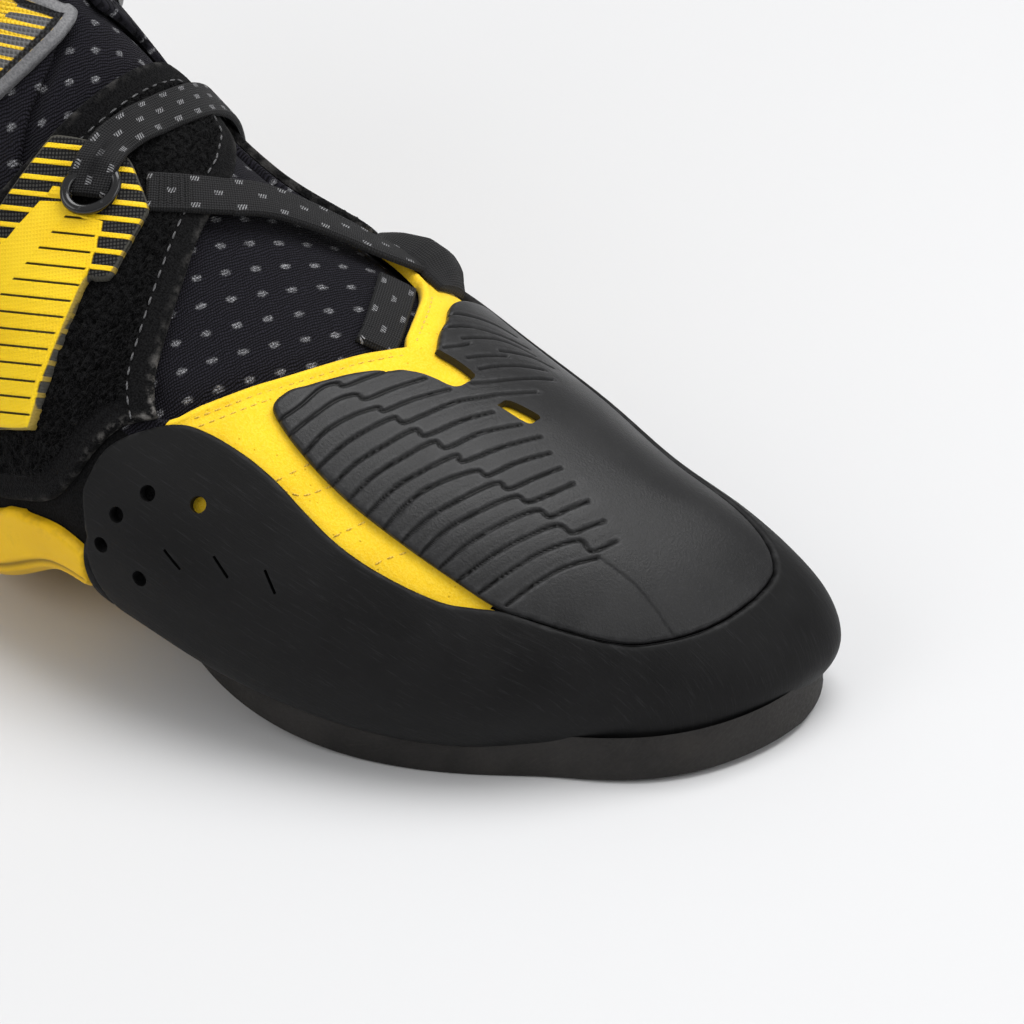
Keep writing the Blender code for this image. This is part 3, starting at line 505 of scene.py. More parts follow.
def sheet_object(name, low, high, uv, materials, slots=None, fields=None, first=None, last=None,
                 ends=(True, True), wall=1, under=6):
    """The solid between two grids of points, with a UV map in metres and named values at its points.

    Its side walls have as many rows of faces as wall says, and each face of its underside spans as many
    steps as under says."""
    rows, columns = high.shape[:2]
    n = rows * columns
    index = np.arange(n).reshape(rows, columns)
    a, b, c, d = index[:-1, :-1], index[1:, :-1], index[1:, 1:], index[:-1, 1:]
    top = np.stack([a, b, c, d], -1).reshape(-1, 4)
    below = coarse_faces(index + n, under)
    first = np.ones(rows - 1, bool) if first is None else first
    last = np.ones(rows - 1, bool) if last is None else last
    slots = np.zeros((rows - 1, columns - 1), np.int32) if slots is None else slots
    runs = [(index[1:, 0][first], index[:-1, 0][first], slots[:, 0][first])]
    runs += [(index[:-1, -1][last], index[1:, -1][last], slots[:, -1][last])]
    runs += [(index[0, :-1], index[0, 1:], slots[0])] if ends[0] else []
    runs += [(index[-1, 1:], index[-1, :-1], slots[-1])] if ends[1] else []
    points = np.concatenate([high.reshape(-1, 3), low.reshape(-1, 3)])
    uvs = np.concatenate([uv.reshape(-1, 2), uv.reshape(-1, 2)])
    values = {field: np.concatenate([v.ravel(), v.ravel()]) for field, v in (fields or {}).items()}
    sides, kinds = [], [slots.ravel()]
    for one, two, kind in runs:
        ids = [np.stack([one, two])]
        for level in range(1, wall + 1):
            share = level / wall
            if level == wall:
                ids.append(ids[0] + n)
                break
            ids.append(np.arange(2 * len(one)).reshape(2, -1) + len(points))
            between = points[ids[0]] * (1 - share) + points[ids[0] + n] * share
            points = np.concatenate([points, between.reshape(-1, 3)])
            depth = np.linalg.norm(points[ids[0]] - points[ids[0] + n], axis=-1) * share
            lower_uv = uvs[ids[0]] + np.stack([depth * 0, depth], -1)
            uvs = np.concatenate([uvs, lower_uv.reshape(-1, 2)])
            values = {field: np.concatenate([v, v[ids[0]].ravel()]) for field, v in values.items()}
        for upper, lower in zip(ids[:-1], ids[1:]):
            sides.append(np.stack([upper[0], upper[1], lower[1], lower[0]], -1))
            kinds.append(kind)
    faces = np.concatenate([top] + sides)
    middle = (rows // 2 * (columns - 1)) + columns // 2
    quad = points[top[middle]]
    across = np.cross(quad[2] - quad[0], quad[3] - quad[1])
    out = points[top[middle][0]] - points[top[middle][0] + n]
    if np.dot(across, out) < 0:
        faces = faces[:, ::-1]
        below = [face[::-1] for face in below]
    corners = np.concatenate([faces.ravel()] + [np.array(face) for face in below])
    starts = np.cumsum([0] + [len(face) for face in below[:-1]]) + faces.size
    starts = np.concatenate([np.arange(0, faces.size, 4), starts])
    mesh = bpy.data.meshes.new(name)
    mesh.vertices.add(len(points))
    mesh.vertices.foreach_set("co", points.astype(np.float32).ravel())
    mesh.loops.add(len(corners))
    mesh.loops.foreach_set("vertex_index", corners.astype(np.int32))
    mesh.polygons.add(len(faces) + len(below))
    mesh.polygons.foreach_set("loop_start", starts.astype(np.int32))
    kinds = np.concatenate(kinds + [np.full(len(below), slots[slots.shape[0] // 2, slots.shape[1] // 2])])
    mesh.polygons.foreach_set("material_index", kinds.astype(np.int32))
    mesh.update(calc_edges=True)
    layer = mesh.uv_layers.new(name="metres")
    layer.data.foreach_set("uv", uvs[corners].astype(np.float32).ravel())
    for field, found in values.items():
        attribute = mesh.attributes.new(field, "FLOAT", "POINT")
        attribute.data.foreach_set("value", found.astype(np.float32))
    obj = new_object(name, mesh, materials)
    tidy_mesh(mesh)
    mesh.shade_smooth()
    mesh.set_sharp_from_angle(angle=SHARP_ANGLE)
    return obj


def coarse_faces(index, step):
    """Faces over a grid of point numbers, each a few steps wide, that still use every point of its border."""
    rows, columns = index.shape
    ri = list(range(0, rows - 1, step)) + [rows - 1]
    ci = list(range(0, columns - 1, step)) + [columns - 1]
    faces = []
    for i0, i1 in zip(ri[:-1], ri[1:]):
        for j0, j1 in zip(ci[:-1], ci[1:]):
            face = list(index[i0, j0:j1]) if i0 == 0 else [index[i0, j0]]
            face += list(index[i0:i1, j1]) if j1 == columns - 1 else [index[i0, j1]]
            face += list(index[i1, j1:j0:-1]) if i1 == rows - 1 else [index[i1, j1]]
            face += list(index[i1:i0:-1, j0]) if j0 == 0 else [index[i1, j0]]
            faces.append(face)
    return faces


def tidy_mesh(mesh):
    """Merges doubled points and drops faces that closed up."""
    work = bmesh.new()
    work.from_mesh(mesh)
    bmesh.ops.delete(work, geom=[v for v in work.verts if not v.link_faces], context="VERTS")
    bmesh.ops.remove_doubles(work, verts=work.verts, dist=2e-7)
    bmesh.ops.dissolve_degenerate(work, edges=work.edges, dist=1e-8)
    work.to_mesh(mesh)
    work.free()


def bake_modifiers(obj):
    """Replaces an object's mesh by what its modifiers make, and removes them."""
    graph = bpy.context.evaluated_depsgraph_get()
    mesh = bpy.data.meshes.new_from_object(obj.evaluated_get(graph))
    old = obj.data
    obj.modifiers.clear()
    obj.data = mesh
    bpy.data.meshes.remove(old)


def punch(obj, outlines):
    """Cuts prisms through a piece, each from an outline of points."""
    work = bmesh.new()
    for outline in outlines:
        centre = np.mean(outline, axis=0)
        side = np.cross(outline[1] - outline[0], outline[2] - outline[1])
        axis = side / np.linalg.norm(side)
        flat = [p - axis * np.dot(p - centre, axis) - axis * DRILL for p in outline]
        face = work.faces.new([work.verts.new(p) for p in flat])
        made = bmesh.ops.extrude_face_region(work, geom=[face])["geom"]
        raised = [v for v in made if isinstance(v, bmesh.types.BMVert)]
        bmesh.ops.translate(work, vec=axis * 2 * DRILL, verts=raised)
    bmesh.ops.recalc_face_normals(work, faces=work.faces)
    mesh = bpy.data.meshes.new("punch")
    work.to_mesh(mesh)
    work.free()
    tool = bpy.data.objects.new("punch", mesh)
    bpy.context.scene.collection.objects.link(tool)
    cut = obj.modifiers.new("cut", "BOOLEAN")
    cut.object = tool
    cut.operation = "DIFFERENCE"
    cut.solver = "EXACT"
    bake_modifiers(obj)
    bpy.data.objects.remove(tool, do_unlink=True)
    bpy.data.meshes.remove(mesh)


def place(obj, node, slot):
    """The piece rides with the shoe and, where a node is named, stands for it."""
    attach(obj, "root")
    if node:
        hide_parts(node)
    return obj


def laid(name, grid, base, wall, materials, rows, columns, near, shoulder=.0007, lip=.3, relief=None):
    """A piece laid on the last over a coarse (k, w) grid, its edges rounded down to a thin lip.

    relief, where given, adds to the height and gives the faces' material slots and more named values."""
    k, w = refine(grid, stations(rows, near[0]), stations(columns, near[1]))
    ground = on_last(k, w)
    edge = distance_to(ground, rim(ground), .0004)
    height = wall * (lip + (1 - lip) * roll(edge, shoulder))
    fields = {"edge": edge}
    slots = None
    if relief:
        extra, slots, found = relief(k, w, ground, edge)
        height = height + extra
        fields.update(found)
    base = np.full(k.shape, base)
    low, high = skin(k, w, base), skin(k, w, base + height)
    return sheet_object(name, low, high, surface_uv(k, w), materials, slots, fields)


class Maker:
    """Writes nodes into a tree and hands back their outputs."""

    def __init__(self, tree):
        self.tree = tree

    def put(self, kind, inputs=None, out=0, **settings):
        made = self.tree.nodes.new(kind)
        for key, value in settings.items():
            setattr(made, key, value)
        return self.feed(made, inputs or {})[out]

    def feed(self, made, inputs):
        for key, value in inputs.items():
            if isinstance(value, bpy.types.NodeSocket):
                self.tree.links.new(value, made.inputs[key])
            else:
                made.inputs[key].default_value = value
        return made.outputs

    def math(self, operation, *values):
        return self.put("ShaderNodeMath", dict(enumerate(values)), operation=operation)

    def mix(self, share, a, b):
        a, b = ((*c, 1) if isinstance(c, tuple) else c for c in (a, b))
        return self.put("ShaderNodeMix", {0: share, 6: a, 7: b}, out=2, data_type="RGBA")

    def step(self, value, low, high, start=0.0, end=1.0):
        return self.put("ShaderNodeMapRange", {0: value, 1: low, 2: high, 3: start, 4: end},
                        interpolation_type="SMOOTHSTEP")

    def uv(self, scale=(1, 1, 1), turn=0.0):
        raw = self.put("ShaderNodeUVMap", uv_map="metres")
        return self.put("ShaderNodeMapping", {0: raw, "Rotation": (0, 0, turn), "Scale": scale})

    def object(self):
        return self.put("ShaderNodeTexCoord", out=3)

    def parts(self, vector):
        split = self.put("ShaderNodeSeparateXYZ", {0: vector})
        return split, split.node.outputs[1]

    def noise(self, vector, scale, detail=3.0, rough=.55):
        inputs = {"Vector": vector, "Scale": scale, "Detail": detail, "Roughness": rough}
        return self.put("ShaderNodeTexNoise", inputs)

    def cells(self, vector, scale):
        return self.put("ShaderNodeTexVoronoi", {"Vector": vector, "Scale": scale})

    def field(self, name):
        return self.put("ShaderNodeAttribute", out=2, attribute_name=name)

    def bump(self, height, distance):
        return self.put("ShaderNodeBump", {"Strength": 1.0, "Distance": distance, "Height": height})

    def use(self, group, **inputs):
        made = self.tree.nodes.new("ShaderNodeGroup")
        made.node_tree = group
        return self.feed(made, inputs)


def shader_group(name, inputs, outputs, write):
    """A shader node group. write gets a Maker and the inputs, and returns the outputs in order."""
    tree = bpy.data.node_groups.new(name, "ShaderNodeTree")
    for socket, kind in inputs.items():
        tree.interface.new_socket(socket, in_out="INPUT", socket_type="NodeSocket" + kind)
    for socket in outputs:
        tree.interface.new_socket(socket, in_out="OUTPUT", socket_type="NodeSocketFloat")
    start = tree.nodes.new("NodeGroupInput")
    end = tree.nodes.new("NodeGroupOutput")
    for i, value in enumerate(write(Maker(tree), *start.outputs[:len(inputs)])):
        tree.links.new(value, end.inputs[i])
    return tree


def write_weave(m, vector, pitch):
    """Threads over and under each other. Height, and how much of the upper thread runs along."""
    x, y = m.parts(vector)
    a = m.math("MULTIPLY", m.math("DIVIDE", x, pitch), math.pi)
    b = m.math("MULTIPLY", m.math("DIVIDE", y, pitch), math.pi)
    ca, cb = m.math("COSINE", a), m.math("COSINE", b)
    warp = m.math("MULTIPLY", m.math("ABSOLUTE", cb),
                  m.math("MULTIPLY_ADD", m.math("MULTIPLY", ca, m.math("SIGN", cb)), .4, .6))
    weft = m.math("MULTIPLY", m.math("ABSOLUTE", ca),
                  m.math("MULTIPLY_ADD", m.math("MULTIPLY", cb, m.math("SIGN", ca)), -.4, .6))
    return m.math("MAXIMUM", warp, weft), m.math("SUBTRACT", warp, weft)


def write_marks(m, vector, wide, high, here):
    """Soft-edged little marks, one in the middle of each cell of a lattice."""
    x, y = m.parts(vector)
    ragged = m.math("MULTIPLY_ADD", m.noise(here, 1900.0, 3.0), 1.1, -.55)
    u = m.math("SUBTRACT", m.math("FRACT", x), .5)
    v = m.math("SUBTRACT", m.math("FRACT", y), .5)
    squares = [m.math("POWER", m.math("DIVIDE", a, size), 2.0) for a, size in ((u, wide), (v, high))]
    far = m.math("SQRT", m.math("ADD", *squares))
    return (m.step(m.math("ADD", far, ragged), .45, 1.1, 1.0, 0.0),)


def write_strokes(m, turn, pitch, across, here):
    """Small zigzag marks along a tape in three rows, the middle row half a step on."""
    row = m.math("ROUND", m.math("DIVIDE", across, STROKE_ROWS))
    moved = m.math("MULTIPLY_ADD", m.math("ABSOLUTE", row), .5, turn)
    x = m.math("MULTIPLY", m.math("SUBTRACT", m.math("FRACT", moved), .5), pitch)
    y = m.math("MULTIPLY_ADD", row, -STROKE_ROWS, across)
    inside = m.math("MULTIPLY", m.step(m.math("ABSOLUTE", x), .00068, .00080, 1.0, 0.0),
                    m.step(m.math("ABSOLUTE", y), .00036, .00046, 1.0, 0.0))
    slant = m.math("MULTIPLY_ADD", y, .45, x)
    strokes = m.step(m.math("SINE", m.math("MULTIPLY", slant, 2 * math.pi / STROKE_PITCH)), -.35, .25)
    broken = m.step(m.noise(here, 3600.0, 2.0), .36, .5, .25, 1.0)
    return (m.math("MULTIPLY", m.math("MULTIPLY", inside, strokes), broken),)


def write_net(m, vector, pitch):
    """The holes of a fine net: 0 on its threads, 1 in the middle of a hole."""
    turn = m.math("DIVIDE", math.pi, pitch)
    waves = [m.math("ABSOLUTE", m.math("SINE", m.math("MULTIPLY", a, turn))) for a in m.parts(vector)]
    return (m.math("MULTIPLY", *waves),)


def write_wear(m, edge, vector, reach):
    """Worn places: near an edge, and broken up."""
    near = m.step(edge, 0.0, reach, 1.0, 0.0)
    return (m.math("MULTIPLY", near, m.step(m.noise(vector, 420.0, 5.0, .65), .45, .68)),)


def write_grain(m, vector, scale):
    """Fine and broad unevenness."""
    return m.noise(vector, scale, 4.0, .6), m.noise(vector, m.math("MULTIPLY", scale, .04), 3.0)


WEAVE = shader_group("weave", dict(Vector="Vector", Pitch="Float"), ["Height", "Along"], write_weave)
MARKS = shader_group("marks", dict(Vector="Vector", Wide="Float", High="Float", Here="Vector"), ["Mask"],
                     write_marks)
STROKES = shader_group("strokes", dict(Turn="Float", Pitch="Float", Across="Float", Here="Vector"), ["Mask"],
                       write_strokes)
NET_HOLES = shader_group("net_holes", dict(Vector="Vector", Pitch="Float"), ["Holes"], write_net)
WEAR = shader_group("wear", dict(Edge="Float", Vector="Vector", Reach="Float"), ["Mask"], write_wear)
GRAIN = shader_group("grain", dict(Vector="Vector", Scale="Float"), ["Fine", "Broad"], write_grain)


def finish(name, write, roughness, **fixed):
    """A material. write gets a Maker and returns the colour, the normal and, if it varies, the roughness."""
    material = bpy.data.materials.new(name)
    material.use_nodes = True
    tree = material.node_tree
    shader = tree.nodes["Principled BSDF"]
    shader.inputs["Roughness"].default_value = roughness
    for key, value in fixed.items():
        shader.inputs[key.replace("_", " ")].default_value = value
    found = write(Maker(tree))
    for socket, value in zip(("Base Color", "Normal", "Roughness"), found):
        if value is not None:
            tree.links.new(value, shader.inputs[socket])
    return material


def microfibre(m):
    """Bright yellow synthetic leather: fine nap, small pits, faint creases."""
    here = m.object()
    fine, broad = m.use(GRAIN, Vector=here, Scale=2600.0)
    pits = m.step(m.cells(here, 620.0), .02, .16)
    folds = m.put("ShaderNodeTexNoise", {"Vector": here, "Scale": 130.0, "Detail": 4.0, "Distortion": 1.2})
    crease = m.math("MULTIPLY", m.step(folds, .47, .53), .12)
    tone = m.mix(m.step(broad, .3, .7), (.88, .545, .012), (.98, .635, .019))
    tone = m.mix(m.math("MULTIPLY", m.step(fine, .42, .62), .35), tone, (1.0, .74, .09))
    tone = m.mix(m.math("MULTIPLY", m.math("SUBTRACT", 1.0, pits), .45), tone, (.42, .20, .006))
    height = m.math("ADD", m.math("MULTIPLY", fine, .5), m.math("MULTIPLY_ADD", pits, .4, crease))
    return tone, m.bump(height, .00022)


def knit(m):
    """Navy-black stretch knit: fine slanting cords and a lattice of worn pale marks."""
    here = m.object()
    bend = m.math("MULTIPLY", m.noise(here, 500.0, 2.0), .0010)
    x, y = m.parts(m.uv(turn=1.25))
    rib = m.math("MULTIPLY", m.math("ADD", y, bend), math.pi / KNIT_CORD)
    cord = m.math("ABSOLUTE", m.math("SINE", rib))
    twist = m.math("MULTIPLY_ADD", x, math.pi / KNIT_LOOP, m.math("MULTIPLY", rib, .5))
    loop = m.math("ABSOLUTE", m.math("SINE", twist))
    height = m.math("MULTIPLY", cord, m.math("MULTIPLY_ADD", loop, .6, .4))
    fuzz = m.noise(here, 5200.0, 3.0)
    u, v = m.parts(m.uv())
    ways = [m.math("MULTIPLY_ADD", u, along, m.math("MULTIPLY", v, across)) for along, across in KNIT_LATTICE]
    lattice = m.put("ShaderNodeCombineXYZ", dict(enumerate(ways)))
    marks = m.use(MARKS, Vector=lattice, Wide=.20, High=.135, Here=here)[0]
    marks = m.math("MULTIPLY", marks, m.step(m.parts(here)[0], .012, .034))
    worn = m.math("MULTIPLY", marks, m.step(m.math("MULTIPLY_ADD", height, .3, fuzz), .42, .85, .3, 1.0))
    tone = m.mix(m.step(height, .15, .9), (.0022, .0020, .0032), (.018, .017, .024))
    tone = m.mix(m.math("MULTIPLY", m.step(fuzz, .55, .78), .18), tone, (.060, .062, .075))
    tone = m.mix(worn, tone, m.mix(m.step(fuzz, .45, .7), (.12, .12, .13), (.50, .50, .52)))
    return tone, m.bump(m.math("MULTIPLY_ADD", fuzz, .5, height), .00026)


def board(m):
    """The insole's plain textile."""
    height, along = m.use(WEAVE, Vector=m.uv(), Pitch=.0009)
    tone = m.mix(m.step(along, -.6, .6), (.19, .17, .15), (.30, .28, .25))
    return m.mix(m.step(m.noise(m.object(), 60.0), .4, .7), tone, (.15, .14, .125)), m.bump(height, .00015)


def rand_rubber(m):
    """Black rubber with very fine streaks along it."""
    here = m.object()
    fine, broad = m.use(GRAIN, Vector=here, Scale=1800.0)
    streak = m.noise(m.uv(turn=.5, scale=(160, 2600, 1)), 1.0, 4.0, .7)
    tone = m.mix(m.step(broad, .35, .7), (.0040, .0040, .0042), (.0075, .0075, .0078))
    tone = m.mix(m.math("MULTIPLY", m.step(streak, .52, .72), .5), tone, (.024, .024, .025))
    worn = m.use(WEAR, Edge=m.field("edge"), Vector=here, Reach=.0011)[0]
    tone = m.mix(m.math("MULTIPLY", worn, .3), tone, (.06, .06, .062))
    height = m.math("MULTIPLY_ADD", streak, .6, m.math("MULTIPLY", fine, .4))
    return tone, m.bump(height, .00008), m.step(m.math("ADD", streak, broad), .7, 1.3, .48, .66)


def patch_rubber(m):
    """Dark satin rubber over the toes, paler on its rubbed edges, with a painted highlight on the ridge
    beside each groove and painted shade in the grooves.
    """
    here = m.object()
    fine, broad = m.use(GRAIN, Vector=here, Scale=2400.0)
    tone = m.mix(m.step(broad, .35, .7), (.0125, .0125, .013), (.0185, .0185, .019))
    tone = m.mix(m.math("MULTIPLY", m.step(fine, .5, .75), .25), tone, (.045, .045, .048))
    # Paler along the lip: a painted highlight on the ridge beside each groove, and rubbed wear on the patch's
    # edges
    rub_and_ridge_highlight = m.math("MULTIPLY", m.field("lip"), m.step(m.noise(here, 700.0, 4.0), .35, .7))
    tone = m.mix(m.math("MULTIPLY", rub_and_ridge_highlight, .30), tone, (.07, .07, .073))
    # Painted shade: the grooves are darkened almost to black
    tone = m.mix(m.field("groove"), tone, (.003, .003, .003))
    height = m.math("ADD", fine, m.math("MULTIPLY", broad, .3))
    return tone, m.bump(height, .00007), m.step(broad, .3, .75, .36, .48)


def sole_rubber(m):
    """Charcoal rubber: ground at the edge, smooth and dusty underneath."""
    here = m.object()
    fine, broad = m.use(GRAIN, Vector=here, Scale=1500.0)
    ground = m.noise(m.uv(scale=(260, 2200, 1)), 1.0, 4.0, .7)
    tone = m.mix(m.step(broad, .3, .7), (.016, .0150, .0145), (.030, .0280, .0265))
    tone = m.mix(m.math("MULTIPLY", m.step(ground, .5, .75), .4), tone, (.042, .038, .034))
    tone = m.mix(m.math("MULTIPLY", m.step(m.noise(here, 90.0, 5.0), .52, .75), .2), tone, (.06, .052, .044))
    return tone, m.bump(m.math("MULTIPLY_ADD", ground, .5, fine), .00011), m.step(fine, .3, .7, .55, .72)


def yellow_rubber(m):
    """Satin yellow rubber of the heel, a little scuffed, with painted shade along its crease."""
    here = m.object()
    fine, broad = m.use(GRAIN, Vector=here, Scale=1500.0)
    tone = m.mix(m.step(broad, .3, .7), (.80, .47, .010), (.88, .54, .014))
    scuffs = m.step(m.noise(here, 160.0, 6.0, .7), .56, .74)
    tone = m.mix(m.math("MULTIPLY", scuffs, .22), tone, (.50, .27, .012))
    # Painted shade: the colour darkens along the crease line
    tone = m.mix(m.math("MULTIPLY", m.field("crease"), .75), tone, (.10, .055, .008))
    worn = m.use(WEAR, Edge=m.field("edge"), Vector=here, Reach=.0016)[0]
    tone = m.mix(m.math("MULTIPLY", worn, .3), tone, (.30, .17, .02))
    return tone, m.bump(fine, .00006), m.step(broad, .3, .75, .30, .44)


def pile(m):
    """Coarse black loops with a few paler fibres."""
    here = m.object()
    warp = m.put("ShaderNodeTexNoise", {"Vector": here, "Scale": 900.0, "Detail": 3.0}, out=1)
    shift = m.put("ShaderNodeVectorMath", {0: warp, 3: .0011}, operation="SCALE")
    bent = m.put("ShaderNodeVectorMath", {0: here, 1: shift}, operation="ADD")
    loops = m.cells(bent, 950.0)
    strands = m.math("ABSOLUTE", m.math("SUBTRACT", m.noise(bent, 1700.0, 2.0), .5))
    fibres = m.step(strands, .0, .035, 1.0, 0.0)
    height = m.math("MULTIPLY_ADD", fibres, .6, m.math("SUBTRACT", 1.0, m.math("MULTIPLY", loops, 1.2)))
    tone = m.mix(m.step(loops, .1, .6), (.0065, .0065, .007), (.001, .001, .0012))
    tone = m.mix(m.math("MULTIPLY", fibres, .28), tone, (.06, .06, .064))
    return tone, m.bump(height, .0007)


def suede(m):
    """Flat napped border round the pile, worn pale at the corners."""
    here = m.object()
    fine, broad = m.use(GRAIN, Vector=here, Scale=3400.0)
    tone = m.mix(m.step(fine, .35, .65), (.0018, .0018, .002), (.010, .010, .0105))
    worn = m.use(WEAR, Edge=m.field("edge"), Vector=here, Reach=.0016)[0]
    worn = m.math("MULTIPLY", worn, m.math("MULTIPLY_ADD", m.field("corner"), .7, .18))
    tone = m.mix(worn, tone, (.22, .21, .20))
    return tone, m.bump(m.math("ADD", fine, m.math("MULTIPLY", broad, .4)), .00025)


def webbing(m):
    """Charcoal tape, finely woven, with three rows of pale marks and a darker selvedge."""
    tape = m.put("ShaderNodeUVMap", uv_map="metres")
    height = m.use(WEAVE, Vector=tape, Pitch=.00042)[0]
    y = m.parts(tape)[1]
    marks = m.use(STROKES, Turn=m.field("turn"), Pitch=m.field("pitch"), Across=y, Here=m.object())[0]
    selvedge = m.step(m.math("ABSOLUTE", y), .0030, .0034)
    tone = m.mix(m.step(height, .25, .95), (.006, .006, .0065), (.028, .028, .029))
    tone = m.mix(m.math("MULTIPLY", selvedge, .6), tone, (.008, .008, .009))
    fuzz = m.noise(m.object(), 4200.0, 3.0)
    pale = m.math("MULTIPLY", marks, m.math("SUBTRACT", 1.0, selvedge))
    tone = m.mix(m.math("MULTIPLY", pale, m.field("marked")), tone, (.30, .30, .31))
    # Painted shade along the fold's crease
    tone = m.mix(m.math("MULTIPLY", m.field("fold"), .75), tone, (.006, .006, .007))
    return tone, m.bump(m.math("ADD", height, m.math("MULTIPLY", fuzz, .4)), .00022)


def moulding(m):
    """The closure tab: yellow stripes over black net, and a yellow slab with dark grooves."""
    here = m.object()
    fine, broad = m.use(GRAIN, Vector=here, Scale=1700.0)
    x, y = m.field("tab_x"), m.field("tab_y")
    line = m.math("MULTIPLY_ADD", x, -TAB_SLOPE, y)
    slab = m.step(m.field("slab"), -.6, .6)

    def off_middle(start, pitch):
        turn = m.math("FRACT", m.math("DIVIDE", m.math("SUBTRACT", line, start), pitch))
        return m.math("ABSOLUTE", m.math("SUBTRACT", turn, .5))

    stripe = m.step(off_middle(STRIPE_START, STRIPE_PITCH), .135, .175, 1.0, 0.0)
    cut = m.step(off_middle(GROOVE_START, GROOVE_PITCH), .045, .085, 1.0, 0.0)
    cut = m.math("MULTIPLY", cut, m.step(m.field("ribbed"), 0.0, 1.2))
    cut = m.math("MULTIPLY", cut, m.step(m.field("slab"), 3.0, 5.0))
    holes = m.step(m.use(NET_HOLES, Vector=m.uv(turn=.78), Pitch=.00056)[0], .38, .6)
    net_tone = m.mix(holes, (.0045, .0045, .005), (.045, .044, .040))
    yellow = m.mix(m.step(broad, .35, .7), (.94, .60, .010), (1.0, .68, .016))
    yellow = m.mix(m.math("MULTIPLY", m.step(fine, .5, .72), .2), yellow, (.97, .68, .05))
    solid = m.math("MAXIMUM", slab, stripe)
    tone = m.mix(solid, net_tone, yellow)
    tone = m.mix(m.math("MULTIPLY", cut, .96), tone, (.006, .005, .004))
    hem = m.step(m.field("edge"), .00030, .00055, 1.0, 0.0)
    tone = m.mix(m.math("MULTIPLY", hem, .7), tone, (.085, .082, .07))
    height = m.math("MULTIPLY_ADD", solid, .55, m.math("MULTIPLY", m.math("SUBTRACT", 1.0, holes), .35))
    height = m.math("MULTIPLY_ADD", cut, -.5, m.math("MULTIPLY_ADD", fine, .15, height))
    return tone, m.bump(height, .0003), m.step(solid, .1, .9, .8, .42)


def plastic(m):
    """Glossy black moulded ring with faint scuffs."""
    here = m.object()
    fine, broad = m.use(GRAIN, Vector=here, Scale=1500.0)
    scuff = m.step(m.noise(here, 900.0, 5.0, .7), .58, .70)
    tone = m.mix(m.math("MULTIPLY", scuff, .3), (.006, .006, .0065), (.05, .05, .052))
    return tone, m.bump(broad, .00004), m.step(m.math("ADD", fine, scuff), .5, 1.4, .16, .36)


def net_cloth(m):
    """Smooth grey cloth with printed yellow stripes, a dark stitched line and a grey trim round it."""
    here = m.object()
    net = m.use(NET_HOLES, Vector=m.uv(turn=.78), Pitch=.0007)[0]
    x, y = m.field("tab_x"), m.field("tab_y")
    turn = m.math("DIVIDE", m.math("MULTIPLY_ADD", x, -ANKLE_SLOPE, y), ANKLE_PITCH)
    part = m.math("ABSOLUTE", m.math("SUBTRACT", m.math("FRACT", turn), .5))
    reach = m.math("MULTIPLY_ADD", y, 1.15, x)
    wide = m.math("ADD", m.step(reach, 22.0, 24.0, .20, 0.0), m.step(reach, 6.0, 62.0, .30, .13))
    stripe = m.step(m.math("SUBTRACT", part, wide), -.03, .03, 1.0, 0.0)
    fine = m.noise(here, 2600.0, 3.0)
    grey = m.mix(m.step(net, .35, .6), (.13, .13, .132), (.085, .085, .087))
    tone = m.mix(stripe, grey, m.mix(m.step(fine, .35, .7), (.84, .52, .016), (.95, .62, .03)))
    edge = m.field("edge")
    line = m.math("MULTIPLY", m.step(edge, .0019, .0021), m.step(edge, .0030, .0034, 1.0, 0.0))
    tone = m.mix(line, tone, (.006, .006, .007))
    trim = m.step(edge, .0019, .0021, 1.0, 0.0)
    tone = m.mix(trim, tone, m.mix(m.step(fine, .3, .7), (.10, .10, .105), (.17, .17, .175)))
    height = m.math("MULTIPLY", net, m.math("SUBTRACT", 1.0, trim))
    return tone, m.bump(m.math("MULTIPLY_ADD", fine, .3, height), .00022), m.step(trim, 0.0, 1.0, .6, .38)


def thread(name, dark, pale):
    """Twisted sewing thread."""
    def write(m):
        here = m.object()
        twist = m.put("ShaderNodeTexWave", {"Vector": here, "Scale": 900.0, "Distortion": 2.0}, out=1)
        return m.mix(twist, dark, pale), m.bump(twist, .00008)
    return finish(name, write, .7, Sheen_Weight=.3)


MICROFIBRE = finish("yellow_microfibre", microfibre, .78, Specular_IOR_Level=.2, Sheen_Weight=.08,
                    Sheen_Roughness=.4)
KNIT = finish("black_knit", knit, .85, Specular_IOR_Level=.12, Sheen_Weight=.02, Sheen_Roughness=.4)
BOARD = finish("insole_board", board, .9, Specular_IOR_Level=.1)
RAND = finish("rand_rubber", rand_rubber, .55, Specular_IOR_Level=.16)
PATCH = finish("patch_rubber", patch_rubber, .46, Specular_IOR_Level=.24)
SOLE = finish("sole_rubber", sole_rubber, .62, Specular_IOR_Level=.18)
HEEL = finish("yellow_rubber", yellow_rubber, .4, Specular_IOR_Level=.15)
PILE = finish("loop_pile", pile, .95, Specular_IOR_Level=.08, Sheen_Weight=.02, Sheen_Roughness=.45)
SUEDE = finish("pile_border", suede, .95, Specular_IOR_Level=.08, Sheen_Weight=.03, Sheen_Roughness=.4)
WEBBING = finish("webbing", webbing, .8, Specular_IOR_Level=.2, Sheen_Weight=.03, Sheen_Roughness=.4)
MOULDING = finish("yellow_moulding", moulding, .42, Specular_IOR_Level=.2)
PLASTIC = finish("black_plastic", plastic, .2, Specular_IOR_Level=.5, Coat_Weight=.2, Coat_Roughness=.1)
NET = finish("grey_mesh", net_cloth, .7, Specular_IOR_Level=.3)
GREY_THREAD = thread("grey_thread", (.035, .035, .037), (.11, .11, .115))
YELLOW_THREAD = thread("yellow_thread", (.62, .38, .015), (.92, .62, .06))


